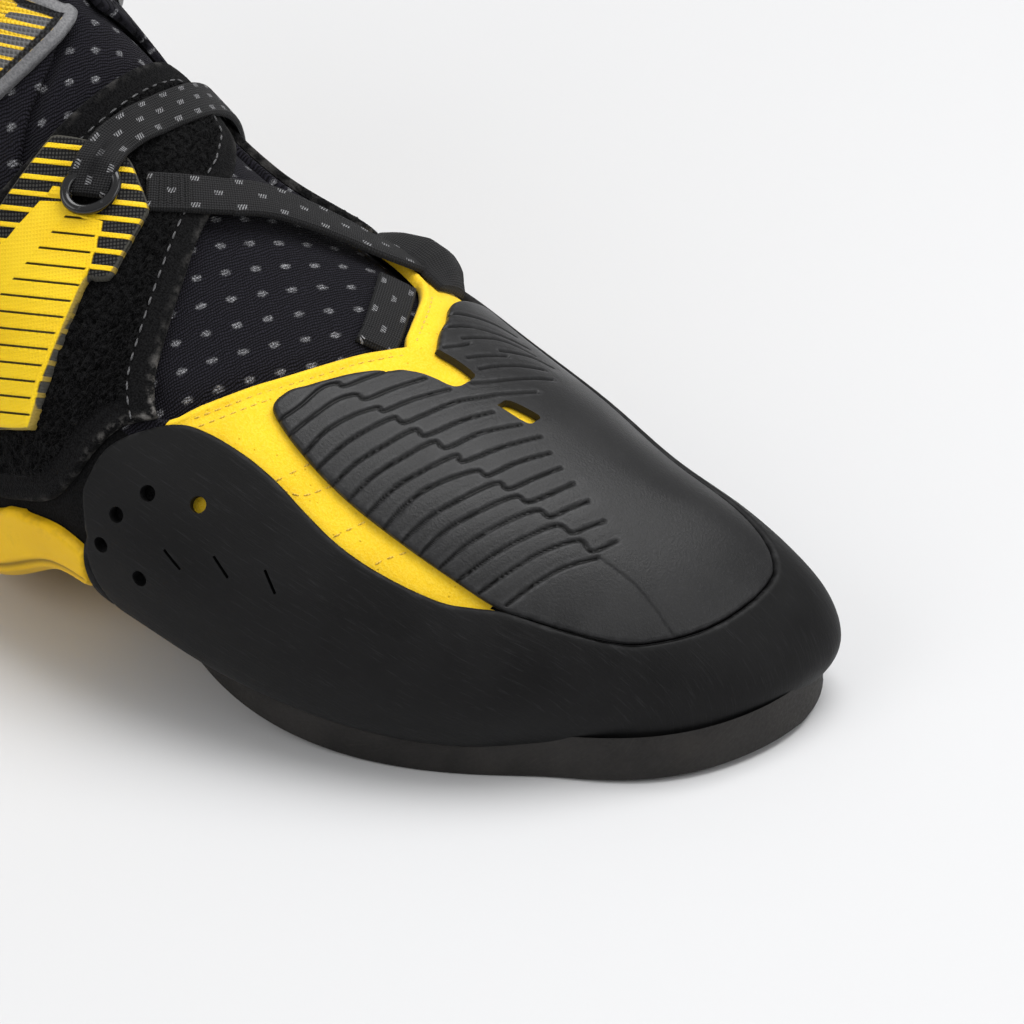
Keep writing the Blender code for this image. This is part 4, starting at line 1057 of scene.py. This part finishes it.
def make_upper():
    """The upper's shell: yellow in front, black knit behind, its throat edge a soft rounded hem."""
    throat_start = THROAT_LATERAL[0][0]
    k = np.concatenate([np.linspace(0, 4, 24)[:-1], np.linspace(4, throat_start, 56),
                        np.linspace(throat_start + .05, 14, 110)[:-1], np.linspace(14, COLLAR, 60)])
    share = stations(130, .012)[None]
    start, end = width_at(THROAT_MEDIAL, k) - 2, width_at(THROAT_LATERAL, k)
    v = start[:, None] * (1 - share) + end[:, None] * share
    kk = np.repeat(k[:, None], share.size, axis=1)
    ground = on_last(kk, v)
    is_open = k >= throat_start
    edge = distance_to(ground, [on_last(k[is_open], side[is_open]) for side in (start, end)], .0003)
    soft = rise(kk, 8.4, 8.55)
    hem = .00035 * bell(edge, .0007, .0008) - .00020 * bell(edge, HEM_ROWS[0], .0003)
    hem = soft * (hem - .00008 * bell(edge, HEM_ROWS[1], .0004)) * rise(kk, 10.2, 9.8)
    drop = soft * .0008 * (1 - roll(edge, .0009))

    # Yellow in front, knit behind, and black nap low down between the ball and the heel
    front = ((v > -.36) & (kk < 9.56)) | ((v < -1.55) & (kk < 9.96)) | (kk < 8.3)
    slots = np.where(front[:-1, :-1] & front[1:, 1:], 0, 1)
    low_side = (v < -.33) & (v > -1.60) & (kk > 7.3) & (kk < 13.6)
    slots[low_side[:-1, :-1] | low_side[1:, 1:]] = 2

    # One hole of the rand shows yellow, and the shell is black under the seam of rand and toe patch
    shown = np.linalg.norm(ground - on_last(*VENTS[1]), axis=-1) < .0038
    slots[shown[:-1, :-1]] = 0
    seam = curve(RAND_SEAM, SEAM_STEPS)[2 * SEAM_CORNERS[0]:2 * SEAM_CORNERS[2] + 1]
    middles = (ground[:-1, :-1] + ground[1:, 1:]) / 2
    slots[distance_to(middles, [on_last(seam[:, 0], seam[:, 1])], .0004) < .0016] = 2
    top = skin(kk, v, hem - drop)
    low = skin(kk, v, -WALL + drop * .5)
    top[0], low[0] = top[0].mean(axis=0), low[0].mean(axis=0)
    walled = k[1:] > throat_start + .001
    obj = sheet_object("upper_shell", low, top, surface_uv(kk, v), [MICROFIBRE, KNIT, SUEDE], slots,
                       {"edge": edge, "corner": edge * 0}, walled, walled, ends=(False, True), under=3)
    return place(obj, "upper", "yellow_microfibre")


def make_binding():
    """The rolled edge round the collar."""
    v = np.linspace(-1.95, -.05, 160)
    turns = np.linspace(0, 2 * math.pi, 21)
    kk = np.full(v.shape, COLLAR - .02)
    centre = skin(kk, v, -WALL / 2)
    normal = outward(kk, v)
    rings = centre[:, None] + normal[:, None] * np.cos(turns)[None, :, None] * BINDING_WALL
    rings[..., 2] += np.sin(turns)[None] * BINDING_RADIUS - WALL
    uv = np.stack(np.broadcast_arrays(run_length(centre)[:, None], (turns * BINDING_RADIUS)[None]), -1)
    return place(tube_object("collar_binding", rings, uv, [SUEDE]), None, "black_knit")


def tube_object(name, rings, uv, materials, closed=False):
    """A tube through closed rings of points, its ends joined to each other or closed with a fan."""
    rows, around = rings.shape[0], rings.shape[1] - 1
    mesh_bm = bmesh.new()
    layer = mesh_bm.loops.layers.uv.new("metres")
    made = [[mesh_bm.verts.new(p) for p in ring[:-1]] for ring in rings[:rows - closed]]
    for i in range(rows - 1):
        for j in range(around):
            corners = ((i, j), (i, j + 1), (i + 1, j + 1), (i + 1, j))
            face = mesh_bm.faces.new([made[a % len(made)][b % around] for a, b in corners])
            for loop, (a, b) in zip(face.loops, corners):
                loop[layer].uv = uv[a, b]
    if not closed:
        for ring, at in ((made[0], rings[0]), (made[-1], rings[-1])):
            middle = mesh_bm.verts.new(at[:-1].mean(axis=0))
            for j in range(around):
                mesh_bm.faces.new((ring[j], ring[(j + 1) % around], middle))
    bmesh.ops.recalc_face_normals(mesh_bm, faces=mesh_bm.faces)
    mesh = bpy.data.meshes.new(name)
    mesh_bm.to_mesh(mesh)
    mesh_bm.free()
    mesh.shade_smooth()
    mesh.set_sharp_from_angle(angle=SHARP_ANGLE)
    return new_object(name, mesh, materials)


def make_tongue():
    """The knit sock insert, which dives under the upper's edges."""
    k = np.concatenate([np.linspace(7.6, 8.3, 8)[:-1], np.linspace(8.3, 14, 110)[:-1],
                        np.linspace(14, COLLAR - .05, 60)])
    start = width_at(THROAT_LATERAL, k) - TONGUE_TUCK
    end = width_at(THROAT_MEDIAL, k) + TONGUE_TUCK
    share = np.linspace(0, 1, 60)[None]
    w = start[:, None] * (1 - share) + end[:, None] * share
    kk = np.repeat(k[:, None], share.size, axis=1)
    inside = rise(np.minimum(w - start[:, None], end[:, None] - w) / TONGUE_TUCK, 1.05, 2.1)
    top = tongue_top(kk) - (1 - inside) * (tongue_top(kk) - tongue_top(0))
    low, high = skin(kk, w, top - TONGUE_WALL), skin(kk, w, top)
    obj = sheet_object("tongue_knit", low, high, surface_uv(kk, w), [KNIT])
    return place(obj, "tongue", "black_knit")


def tongue_top(k):
    """The height of the tongue's upper side along its middle."""
    return TONGUE_CROWN * np.clip(k - TONGUE_RISE, 0, 1) - (WALL + 1.6 * GAP)


def make_insole():
    """The footbed under the last, its border thinned."""
    k = np.linspace(1.2, 15.5, 90)
    half = width_at(INSOLE_EDGE, k)[:, None]
    share = stations(46, .03)[None] * 2 - 1
    w = 1 + share * half
    kk = np.repeat(k[:, None], share.size, axis=1)
    ground = on_last(kk, w)
    edge = distance_to(ground, rim(ground), .0005)
    under = -(WALL + INSOLE_GAP)
    low = skin(kk, w, np.full(kk.shape, under))
    high = skin(kk, w, under - INSOLE_WALL * (.3 + .7 * roll(edge, .0012)))
    obj = sheet_object("insole_board", low, high, surface_uv(kk, w), [BOARD])
    return place(obj, "insole", "insole_board")


def make_rand():
    """The rand round the toe, with the holes and slits of its outer wing."""
    top = sidestep(curve(RAND_SEAM, SEAM_STEPS), -SEAM_SHOW / 2)
    under = curve(RAND_UNDER, SEAM_STEPS)
    share = np.linspace(0, 1, 6)[None, :, None]
    grid = np.moveaxis(top[:, None] * (1 - share) + under[:, None] * share, -1, 0)
    obj = laid("rand_rubber", grid, GAP, RAND_WALL, [RAND], rows=420, columns=44, near=(.004, .03),
               shoulder=.0008, lip=.45)
    holes = [rounded_slot(k, w, 2 * VENT_RADIUS, 2 * VENT_RADIUS, 0, 28) for k, w in VENTS]
    holes += [rounded_slot(k, w, SLIT_LENGTH, SLIT_WIDTH, turn, 20) for k, w, turn in SLITS]
    punch(obj, holes)
    return place(obj, "rand", "rand_rubber")


def make_toe_patch():
    """The toe patch with its grooves, its fine seam line, its window and its notch."""
    seam = sidestep(curve(RAND_SEAM, SEAM_STEPS), SEAM_SHOW / 2)
    start, turn, end = (2 * i for i in SEAM_CORNERS)
    lateral = np.vstack([PATCH_LATERAL, seam[start]])
    rear = np.vstack([PATCH_REAR, seam[end]])
    grid = patch(lateral, seam[turn:end + 1][::-1], rear, seam[start:turn + 1], 13, turn - start + 1)
    lines = [[on_last(q, s) for q, s in curve(line, 24)] for line in GROOVES]
    seam_line = [on_last(q, s) for q, s in curve(PATCH_SEAM_LINE, 24)]

    def relief(k, w, ground, edge):
        away = distance_to(ground, lines, .00008)
        near_seam = distance_to(ground, [seam_line], .0001)
        # cut also darkens the colour in each groove: painted shade
        cut = np.exp(-(away / GROOVE_WIDTH) ** 4)
        # lip is a painted highlight along the ridge beside each groove, and rubbed wear at the patch's edges
        lip = bell(away, .00062, .00030)
        extra = GROOVE_LIP * lip - GROOVE_DEPTH * cut - .00012 * bell(away, 0, .0011)
        extra -= .00015 * bell(near_seam, 0, .0003)
        return extra, None, {"groove": rise(cut, .35, .9), "lip": np.clip(lip + bell(edge, 0, .0008), 0, 1)}

    obj = laid("toe_rubber", grid, GAP, PATCH_WALL, [PATCH], rows=300, columns=310, near=(.012, .01),
               shoulder=.0009, lip=.35, relief=relief)
    rounded = [curve(outline + outline[:1], 4 * len(outline) + 1)[:-1] for outline in (DIAMOND, NOTCH)]
    punch(obj, [on_last(outline[:, 0], outline[:, 1]) for outline in rounded])
    return place(obj, "toe_patch", "patch_rubber")


def make_outsole():
    """The sole: its ground edge stands a little proud of the rand, under a thin line."""
    tip = 15
    k = np.concatenate([np.linspace(0, SOLE_TIP, tip + 1)[:-1], np.linspace(SOLE_TIP, 2.2, 40)[:-1],
                        np.linspace(2.2, 9.4, 150)])
    edge = np.maximum(width_at(FEATHER, k) - .028 * rise(k, 1.32, 1.9), 0) * (k > SOLE_TIP)
    share = stations(60, .02)[None]
    v = -edge[:, None] * (1 - share) + (edge[:, None] - 2) * share
    kk = np.repeat(k[:, None], share.size, axis=1)
    reach = width_at(RAND_REACH, k)[:, None]
    under_rand = rise(np.abs(v + 1) - reach, -.015, .015)
    top = skin(kk, v, GAP + under_rand * (GAP + RAND_WALL) + .0001)
    top[0] = top[0].mean(axis=0)
    from_edge = np.minimum(share, 1 - share)
    at_edge = np.clip(1 - from_edge / .03, 0, 1)
    top[..., 2] += at_edge * (value_at(SOLE_RISES, k) * (k > SOLE_TIP - .001))[:, None]

    # The edge moves onto one even curve round the toe, and out from it by the margins
    loop = np.concatenate([top[:tip:-1, 0], top[tip:, -1]])
    even = smoothed(loop, OUTLINE_ROUNDS)
    along = np.gradient(even[:, :2], axis=0)
    out = np.stack([along[:, 1], -along[:, 0]], -1) / np.linalg.norm(along, axis=-1, keepdims=True)
    out *= np.sign(((even[:, :2] - even[:, :2].mean(axis=0)) * out).sum())
    margin = value_at(SOLE_MARGINS, k)
    even[:, :2] += out * np.concatenate([margin[:tip:-1], margin[tip:]])[:, None]
    shift = smoothed(even, MARGIN_ROUNDS) - loop
    near = np.clip(1 - from_edge / .12, 0, 1)
    rows = len(k) - tip - 1
    top[:tip + 1] += shift[rows] * (rise(k[:tip + 1], .6, SOLE_TIP)[:, None] * near)[..., None]
    top[tip + 1:] += shift[:rows][::-1][:, None] * (near * (share < .5))[..., None]
    top[tip + 1:] += shift[rows + 1:][:, None] * (near * (share > .5))[..., None]

    bottom = top.copy()
    bottom[..., 2] = (smoothed(width_at(SOLE_LIFT, k), LIFT_ROUNDS) * HEIGHT)[:, None]
    away = distance_to(bottom, [bottom[tip:, 0], bottom[tip:, -1]], .0004)
    bottom[..., 2] += SOLE_ROUND * (1 - roll(away, 2 * SOLE_ROUND)) * (k > SOLE_TIP)[:, None]
    walled = k[1:] > SOLE_TIP
    obj = sheet_object("outsole_rubber", bottom, top, surface_uv(kk, v), [SOLE], None, {"edge": away}, walled,
                       walled, ends=(False, True), wall=8, under=1)
    return place(obj, "outsole", "sole_rubber")


def make_heel_sole():
    """The heel's black rubber, flat where it stands on the ground."""
    k = np.linspace(HEEL_SOLE_EDGE[0][0], HEEL_SOLE_EDGE[-1][0], 60)
    half = width_at(HEEL_SOLE_EDGE, k)
    share = (stations(46, .03) * 2 - 1)[None]
    v = -1 + share * half[:, None]
    kk = np.repeat(k[:, None], share.size, axis=1)
    ground = on_last(kk, v)
    edge = distance_to(ground, rim(ground), .0004)
    base = 2 * GAP + CUP_WALL
    top = skin(kk, v, base)
    bottom = skin(kk, v, base + HEEL_EDGE - .0006 * (1 - roll(edge, .0012)))
    bottom[..., 2] = np.maximum(bottom[..., 2], 0)
    obj = sheet_object("heel_tread", bottom, top, surface_uv(kk, v), [SOLE], None, {"edge": edge}, wall=5)
    return place(obj, "heel_sole", "sole_rubber")


def make_heel_cup():
    """The yellow heel rubber, with a crease above the heel's edge that is darkened with painted shade."""
    crease = [on_last(q, s) for q, s in curve(CUP_CREASE, 90)]

    def relief(k, w, ground, edge):
        away = distance_to(ground, [crease], .0002)
        line = bell(away, 0, .00045)
        # line also carries the painted shade along the crease into the colour
        return .00018 * bell(away, .0010, .0006) - .0003 * line, None, {"crease": line}

    grid = patch(CUP_LATERAL, CUP_MEDIAL, CUP_FRONT, CUP_REAR, 16, 12)
    obj = laid("heel_rubber", grid, GAP, CUP_WALL, [HEEL], rows=200, columns=170, near=(.008, .01),
               shoulder=.0012, relief=relief)
    return place(obj, "heel_cup", "yellow_rubber")


def make_quarter(name, node, grid, corner, rough_by):
    """A flap of loop pile, uneven by a height, with a flat napped border that is worn at one corner."""
    def relief(k, w, ground, edge):
        border = rise(edge, PILE_BORDER + .0004, PILE_BORDER - .0004)
        rough = np.random.default_rng(7).normal(size=k.shape)
        for _ in range(2):
            rough = (rough + np.roll(rough, 1, 0) + np.roll(rough, 1, 1) + np.roll(rough, -1, 0)) / 4
        extra = (1 - border) * (.0004 + rough_by * rough) - .0001 * bell(edge, .0022, .0004)
        slots = np.where(border[:-1, :-1] > .5, 1, 0)
        near = np.linalg.norm(ground - on_last(*corner), axis=-1)
        return extra, slots, {"corner": rise(near, .014, .004)}

    obj = laid(name, grid, GAP, QUARTER_WALL, [PILE, SUEDE], rows=190, columns=170, near=(.015, .015),
               shoulder=.0008, lip=.35, relief=relief)
    return place(obj, node, "loop_pile")


def view_axes():
    """The camera's directions to the right, up and back, and its place."""
    flat = math.cos(VIEW_RISE)
    back = np.array([math.sin(VIEW_TURN) * flat, -math.cos(VIEW_TURN) * flat, math.sin(VIEW_RISE)])
    right = np.array([math.cos(VIEW_TURN), math.sin(VIEW_TURN), 0])
    return right, np.cross(back, right), back, np.array(TARGET) + back * DISTANCE


def in_picture(points):
    """Where points fall in the picture, in picture points to the right and down."""
    right, up, back, eye = view_axes()
    away = points - eye
    depth = -(away @ back)
    return PICTURE / 2 + FOCAL * (away @ right) / depth, PICTURE / 2 - FOCAL * (away @ up) / depth


def signed_inside(x, y, outline):
    """Distance to a closed outline, positive inside."""
    outline = np.array(outline, float)
    ends = np.roll(outline, -1, axis=0)
    best = np.full(x.shape, 1e9)
    inside = np.zeros(x.shape, bool)
    for (ax, ay), (bx, by) in zip(outline, ends):
        t = np.clip(((x - ax) * (bx - ax) + (y - ay) * (by - ay)) / ((bx - ax) ** 2 + (by - ay) ** 2), 0, 1)
        best = np.minimum(best, np.hypot(x - ax - t * (bx - ax), y - ay - t * (by - ay)))
        crosses = (ay > y) != (by > y)
        inside ^= crosses & (x < (bx - ax) * (y - ay) / (by - ay + 1e-12) + ax)
    return np.where(inside, best, -best)


def make_tab():
    """The closure tab: a raised slab with grooves, thin bars on net beside it, and the ring's hole."""
    def relief(k, w, ground, edge):
        x, y = in_picture(skin(k, w, np.full(k.shape, ON_QUARTER + TAB_WALL)))
        slab = np.maximum(signed_inside(x, y, SLAB), signed_inside(x, y, RING_PIECE))
        ribbed = x - RIB_END[0] + RIB_END_SLOPE * (y - RIB_END[1])
        line = y - TAB_SLOPE * x
        turn = (line - GROOVE_START) / GROOVE_PITCH % 1 - .5
        pillow = 1 - (2 * ((turn + 1) % 1 - .5)) ** 2
        on = rise(slab, -.8, .8)
        rib = on * rise(ribbed, 0, 2) * rise(slab, 2, 5)
        groove = rib * bell(turn, 0, .06)
        bar = (1 - on) * rise(np.abs((line - STRIPE_START) / STRIPE_PITCH % 1 - .5), .19, .13)
        extra = .0004 * on + rib * (.00016 * (1 - pillow) - .00012) - .0003 * groove + .00018 * bar
        extra *= rise(edge, .0002, .0012)
        return extra, None, {"tab_x": x, "tab_y": y, "slab": slab, "ribbed": ribbed}

    grid = patch(TAB_LOWER, TAB_UPPER, TAB_FRONT, TAB_REAR, 8, 9)
    obj = laid("closure_tab_moulding", grid, ON_QUARTER, TAB_WALL, [MOULDING], rows=230, columns=230,
               near=(.01, .01), relief=relief)
    hole_long, hole_wide = RING_LONG - 2 * RING_WIRE, RING_WIDE - 2 * RING_WIRE
    punch(obj, [rounded_slot(*RING_PLACE, hole_long, hole_wide, np.pi / 2, 40)])
    return place(obj, "closure_tab", "yellow_moulding")


def make_ring():
    """The ring's section is a rounded square."""
    point, along, across, normal = surface_axes(*RING_PLACE)
    centre = point + normal * (ON_TAB + RING_WIRE / 2)
    turns = np.linspace(0, 2 * math.pi, 73)
    section = np.linspace(0, 2 * math.pi, 21)
    out, up = (np.sign(a) * np.abs(a) ** .75 * RING_WIRE / 2 for a in (np.cos(section), np.sin(section)))
    wide, long = RING_WIDE - RING_WIRE, RING_LONG - RING_WIRE
    rings = []
    for turn in turns:
        u, v = math.cos(turn) * wide / 2, math.sin(turn) * long / 2
        way = along * math.cos(turn) / wide + across * math.sin(turn) / long
        way /= np.linalg.norm(way)
        rings.append(centre + along * u + across * v + way * out[:, None] + normal * up[:, None])
    uv = np.stack(np.broadcast_arrays((turns * RING_LONG / 2)[:, None], (section * RING_WIRE / 2)[None]), -1)
    obj = tube_object("tab_ring_moulding", np.array(rings), uv, [PLASTIC], closed=True)
    return place(obj, "tab_ring", "black_plastic")


def make_ribbon(name, node, path, heights, width=WEBBING_WIDTH, marked=1.0, fold=None, ribs=None, pitch=.0078,
                rows=220, droop=0.0):
    """A tape along a path, with a thin rounded selvedge. heights are its underside along the path.

    fold and ribs are stretches of its length, in metres, that are folded along the middle or sewn in ribs.
    marked is how strongly its pale marks show, pitch their distance, and droop how far one side hangs."""
    middle = curve(path, rows)
    along, share = np.linspace(0, 1, rows), stations(30, .03)
    sides = [sidestep(middle, width / 2), sidestep(middle, width / 4), middle, sidestep(middle, -width / 4),
             sidestep(middle, -width / 2)]
    k, w = refine(np.moveaxis(np.stack(sides, axis=1), -1, 0), along, share)
    base = smoothed(np.interp(along, np.linspace(0, 1, len(heights)), heights), int(rows * .08))
    base = base[:, None] - droop * np.sin(along * math.pi)[:, None] * rise(1 - share, .35, 1.0)[None]
    ground = skin(k, w, base)
    length = run_length(ground[:, 15])
    v = (share - .5) * width
    edge = np.minimum(width / 2 - np.abs(v), 1)[None] * np.ones((rows, 1))
    ends = np.minimum(length, length[-1] - length)[:, None]
    height = WEBBING_WALL * (.35 + .65 * roll(np.minimum(edge, ends), .0006))
    height -= .00012 * bell(edge, .0010, .0003)
    folded = np.zeros(k.shape)
    if fold:
        line = rise(length, fold[0], fold[0] + .003) * rise(length, fold[1], fold[1] - .004)
        # folded also darkens the tape's colour along the fold: painted shade
        folded = line[:, None] * bell(v[None], 0, .0007)
        swell = .00025 * line[:, None] * np.cos(np.clip(v[None] / .0016, -1.5, 1.5) * math.pi)
        height = height + swell - .0006 * folded
    if ribs:
        inside = rise(length, ribs[0], ribs[0] + .0006) * rise(length, ribs[1], ribs[1] - .0006)
        swell = inside * .00022 * np.cos(length * 2 * math.pi / .0011)
        height = height + swell[:, None] * rise(edge, .0003, .001)
    uv = np.stack(np.broadcast_arrays(length[:, None], v[None]), -1)
    fields = {"edge": edge, "marked": np.full(k.shape, marked), "fold": folded,
              "turn": np.broadcast_to(length[:, None] / pitch, k.shape), "pitch": np.full(k.shape, pitch)}
    obj = sheet_object(name, ground, skin(k, w, base + height), uv, [WEBBING], None, fields)
    return place(obj, node, "webbing")


def ankle_edge(edge, side):
    """An outline of the ankle patch on one side: 1 is the little-toe side, -1 the big-toe side."""
    back, down = (0, 0) if side > 0 else ANKLE_SHIFT
    return [(k + back, side * (w - down)) for k, w in edge]


def make_ankle_patch(name, node, side):
    """A striped ankle patch, its grey trim a little higher than the cloth."""
    edges = [ankle_edge(edge, side) for edge in (ANKLE_LOWER, ANKLE_UPPER, ANKLE_FRONT, ANKLE_REAR)]

    def relief(k, w, ground, edge):
        x, y = in_picture(skin(k, w, np.full(k.shape, QUARTER_WALL)) * (1, side, 1))
        return -.0003 * rise(edge, .0019, .0024), None, {"tab_x": x, "tab_y": y}

    grid = patch(*edges, 9, 6)
    obj = laid(name, grid, GAP, QUARTER_WALL, [NET], rows=130, columns=90, near=(.012, .02), lip=.35,
               relief=relief)
    return place(obj, node, "grey_mesh")


def stitch_tree():
    """Geometry nodes that lay stitches along a line: a run of small plump pills end to end."""
    tree = bpy.data.node_groups.new("stitch_row", "GeometryNodeTree")
    face = tree.interface
    face.new_socket("Geometry", in_out="INPUT", socket_type="NodeSocketGeometry")
    for name in ("Pitch", "Length", "Thickness"):
        face.new_socket(name, in_out="INPUT", socket_type="NodeSocketFloat")
    face.new_socket("Thread", in_out="INPUT", socket_type="NodeSocketMaterial")
    face.new_socket("Geometry", in_out="OUTPUT", socket_type="NodeSocketGeometry")
    m = Maker(tree)
    start = tree.nodes.new("NodeGroupInput")
    line = m.put("GeometryNodeMeshToCurve", {0: start.outputs["Geometry"]})
    spots = {"Curve": line, "Length": start.outputs["Pitch"]}
    points = m.put("GeometryNodeCurveToPoints", spots, mode="LENGTH")
    pill = m.put("GeometryNodeMeshUVSphere", {"Segments": 10, "Rings": 7, "Radius": 1.0})
    half = m.math("MULTIPLY", start.outputs["Length"], .5)
    thick = m.math("MULTIPLY", start.outputs["Thickness"], .5)
    size = m.put("ShaderNodeCombineXYZ", {0: thick, 1: thick, 2: half})
    copies = {"Points": points, "Instance": pill, "Rotation": points.node.outputs["Rotation"], "Scale": size}
    real = m.put("GeometryNodeRealizeInstances", {0: m.put("GeometryNodeInstanceOnPoints", copies)})
    smooth = m.put("GeometryNodeSetShadeSmooth", {0: real})
    done = m.put("GeometryNodeSetMaterial", {"Geometry": smooth, "Material": start.outputs["Thread"]})
    tree.links.new(done, tree.nodes.new("NodeGroupOutput").inputs[0])
    return tree


STITCHES = stitch_tree()


def stitch(name, lines, slot, pitch, length, thickness, material=GREY_THREAD):
    """Stitches along runs of points, as one piece."""
    mesh = bpy.data.meshes.new(name)
    verts, edges = [], []
    for line in lines:
        edges += [(len(verts) + i, len(verts) + i + 1) for i in range(len(line) - 1)]
        verts += [tuple(p) for p in line]
    mesh.from_pydata(verts, edges, [])
    obj = new_object(name, mesh, [])
    rows = obj.modifiers.new("rows", "NODES")
    rows.node_group = STITCHES
    given = {"Pitch": pitch, "Length": length, "Thickness": thickness, "Thread": material}
    for item in STITCHES.interface.items_tree:
        if item.in_out == "INPUT" and item.name in given:
            rows[item.identifier] = given[item.name]
    bake_modifiers(obj)
    if material.name not in obj.data.materials:
        obj.data.materials.append(material)
    return place(obj, None, slot)


def line_on(places, height, count=160):
    """A smooth run of points over the surface at a height."""
    line = curve(places, count)
    return skin(line[:, 0], line[:, 1], np.full(count, height))


def inset_line(places, distance, height, count=200, cut=(0.0, 1.0)):
    """A run of points that keeps a distance inside an outline."""
    line = sidestep(curve(places, count), distance)
    a, b = (int(share * (count - 1)) for share in cut)
    return skin(line[a:b + 1, 0], line[a:b + 1, 1], np.full(b + 1 - a, height))


def make_floor():
    """A wide pale floor that takes soft shadows."""
    mesh = bpy.data.meshes.new("floor")
    reach = np.linspace(-2.5, 2.5, 41)
    points = [(x, y, -GROUND_GAP) for x in reach for y in reach]
    index = np.arange(len(points)).reshape(len(reach), len(reach))
    corners = (index[:-1, :-1], index[1:, :-1], index[1:, 1:], index[:-1, 1:])
    faces = np.stack(corners, -1).reshape(-1, 4).tolist()
    mesh.from_pydata(points, [], faces)
    paper = bpy.data.materials.new("floor_paper")
    paper.use_nodes = True
    m = Maker(paper.node_tree)
    shader = paper.node_tree.nodes["Principled BSDF"]
    tone = m.mix(m.noise(m.object(), 3.0), (.648, .650, .658), (.664, .666, .674))
    paper.node_tree.links.new(tone, shader.inputs["Base Color"])
    shader.inputs["Roughness"].default_value = .9
    obj = new_object("floor", mesh, [paper])


def add_light(name, energy, place_at, aim, size):
    """A soft white light panel that faces a point."""
    data = bpy.data.lights.new(name, "AREA")
    data.energy = energy
    data.shape = "RECTANGLE"
    data.size, data.size_y = size
    obj = bpy.data.objects.new(name, data)
    obj.location = place_at
    obj.rotation_euler = (Vector(aim) - Vector(place_at)).to_track_quat("-Z", "Y").to_euler()
    bpy.context.scene.collection.objects.link(obj)


def set_camera():
    """The camera at the photograph's angle."""
    *axes, eye = view_axes()
    data = bpy.data.cameras.new("camera")
    data.sensor_width = 36
    data.lens = FOCAL / PICTURE * data.sensor_width
    data.clip_start, data.clip_end = .05, 20
    obj = bpy.data.objects.new("camera", data)
    obj.matrix_world = Matrix([axis.tolist() for axis in axes]).transposed().to_4x4()
    obj.matrix_world.translation = eye
    bpy.context.scene.collection.objects.link(obj)
    bpy.context.scene.camera = obj


def set_world():
    """Even light from all round, a little stronger from above."""
    world = bpy.data.worlds.new("studio")
    world.use_nodes = True
    m = Maker(world.node_tree)
    ground = world.node_tree.nodes["Background"]
    height = m.put("ShaderNodeSeparateXYZ", {0: m.put("ShaderNodeTexCoord", out=0)}, out=2)
    tone = m.mix(m.step(height, -.1, .8), (.75, .75, .76), (1.0, 1.0, 1.0))
    world.node_tree.links.new(tone, ground.inputs["Color"])
    ground.inputs["Strength"].default_value = .46
    bpy.context.scene.world = world


make_upper()
make_binding()
make_tongue()
make_insole()
make_rand()
make_toe_patch()
make_outsole()
make_heel_sole()
make_heel_cup()
make_quarter("pile_lateral", "flap_lateral", patch(FLAP_LOWER, FLAP_UPPER, FLAP_FRONT, FLAP_REAR, 9, 9),
             (9.7, -.29), .0006)
make_quarter("pile_medial", "quarter_medial",
             patch(MEDIAL_LOWER, MEDIAL_UPPER, MEDIAL_FRONT, MEDIAL_REAR, 9, 6), (9.95, .37), .0002)
make_tab()
make_ring()
make_ribbon("webbing_a", "webbing_upper", [(11.74, -.155)] + WEBBING_UPPER,
            [ON_TAB - .0006, ON_TAB + RING_WIRE + .0002, ON_TAB, ON_TAB - .0006] + [ON_QUARTER] * 6,
            fold=(.001, .012), pitch=.0049)
make_ribbon("webbing_b", "webbing_middle", WEBBING_MIDDLE, [ON_QUARTER, ON_QUARTER, .6 * ON_QUARTER, GAP],
            ribs=(.001, .0075))
make_ribbon("webbing_c", "webbing_lower", WEBBING_LOWER,
            [tongue_top(k + .25) + GAP for k, _ in WEBBING_LOWER], rows=90)
make_ribbon("guide_tape", "guide_loop", GUIDE_LOOP,
            [GAP, .6 * LOOP_RISE, LOOP_RISE, LOOP_RISE, .6 * LOOP_RISE, GAP],
            width=LOOP_WIDTH, marked=0.0, rows=110, droop=LOOP_DROOP)
make_ribbon("pull_tape", "heel_pull_loop", PULL_LOOP, [GAP, PULL_RISE, PULL_RISE, GAP], PULL_WIDTH,
            marked=0.0, rows=90)
make_ankle_patch("ankle_net_lateral", "ankle_patch_lateral", 1)
make_ankle_patch("ankle_net_medial", "ankle_patch_medial", -1)

hem_rows = [
    inset_line(THROAT_LATERAL[:9], HEM_ROWS[0], -.0001, 300, (.06, .97)),
    inset_line(THROAT_LATERAL[:9], HEM_ROWS[1], -.0001, 300, (.62, .93)),
    inset_line(THROAT_MEDIAL[1:5], -HEM_ROWS[0], -.0001, 220),
]
hem_rows += [line_on(crease, .00002, 40) for crease in BAND_CREASES]
stitch("hem_stitches", hem_rows, "yellow_microfibre", pitch=.0017, length=.0012, thickness=.00034,
       material=YELLOW_THREAD)
flap_rows = [
    inset_line(FLAP_FRONT, .0038, ON_QUARTER + .00005, 260, (.05, .98)),
    inset_line(FLAP_REAR, -.0038, ON_QUARTER + .00005, 260, (.1, .97)),
    inset_line(FLAP_UPPER, .0038, ON_QUARTER + .00005, 260, (.03, .95)),
]
stitch("flap_stitches", flap_rows, "loop_pile", pitch=.0024, length=.0015, thickness=.00030)
ankle_rows = [inset_line(ankle_edge(ANKLE_LOWER, side), .0018 * side, GAP + QUARTER_WALL, 220, (.03, .97))
              for side in (1, -1)]
stitch("ankle_stitches", ankle_rows, "grey_mesh", pitch=.0026, length=.0020, thickness=.00045)

make_floor()
set_camera()
set_world()
add_light("key", 13.5, (.30, .30, 1.15), (.12, -.02, .03), (.9, .9))
add_light("fill", 5, (-.2, -1.2, .9), (.12, 0, .03), (1.0, .8))
add_light("side", 3, (1.2, .1, .7), (.12, 0, .03), (.8, .6))
bpy.context.scene.view_settings.view_transform = "Standard"
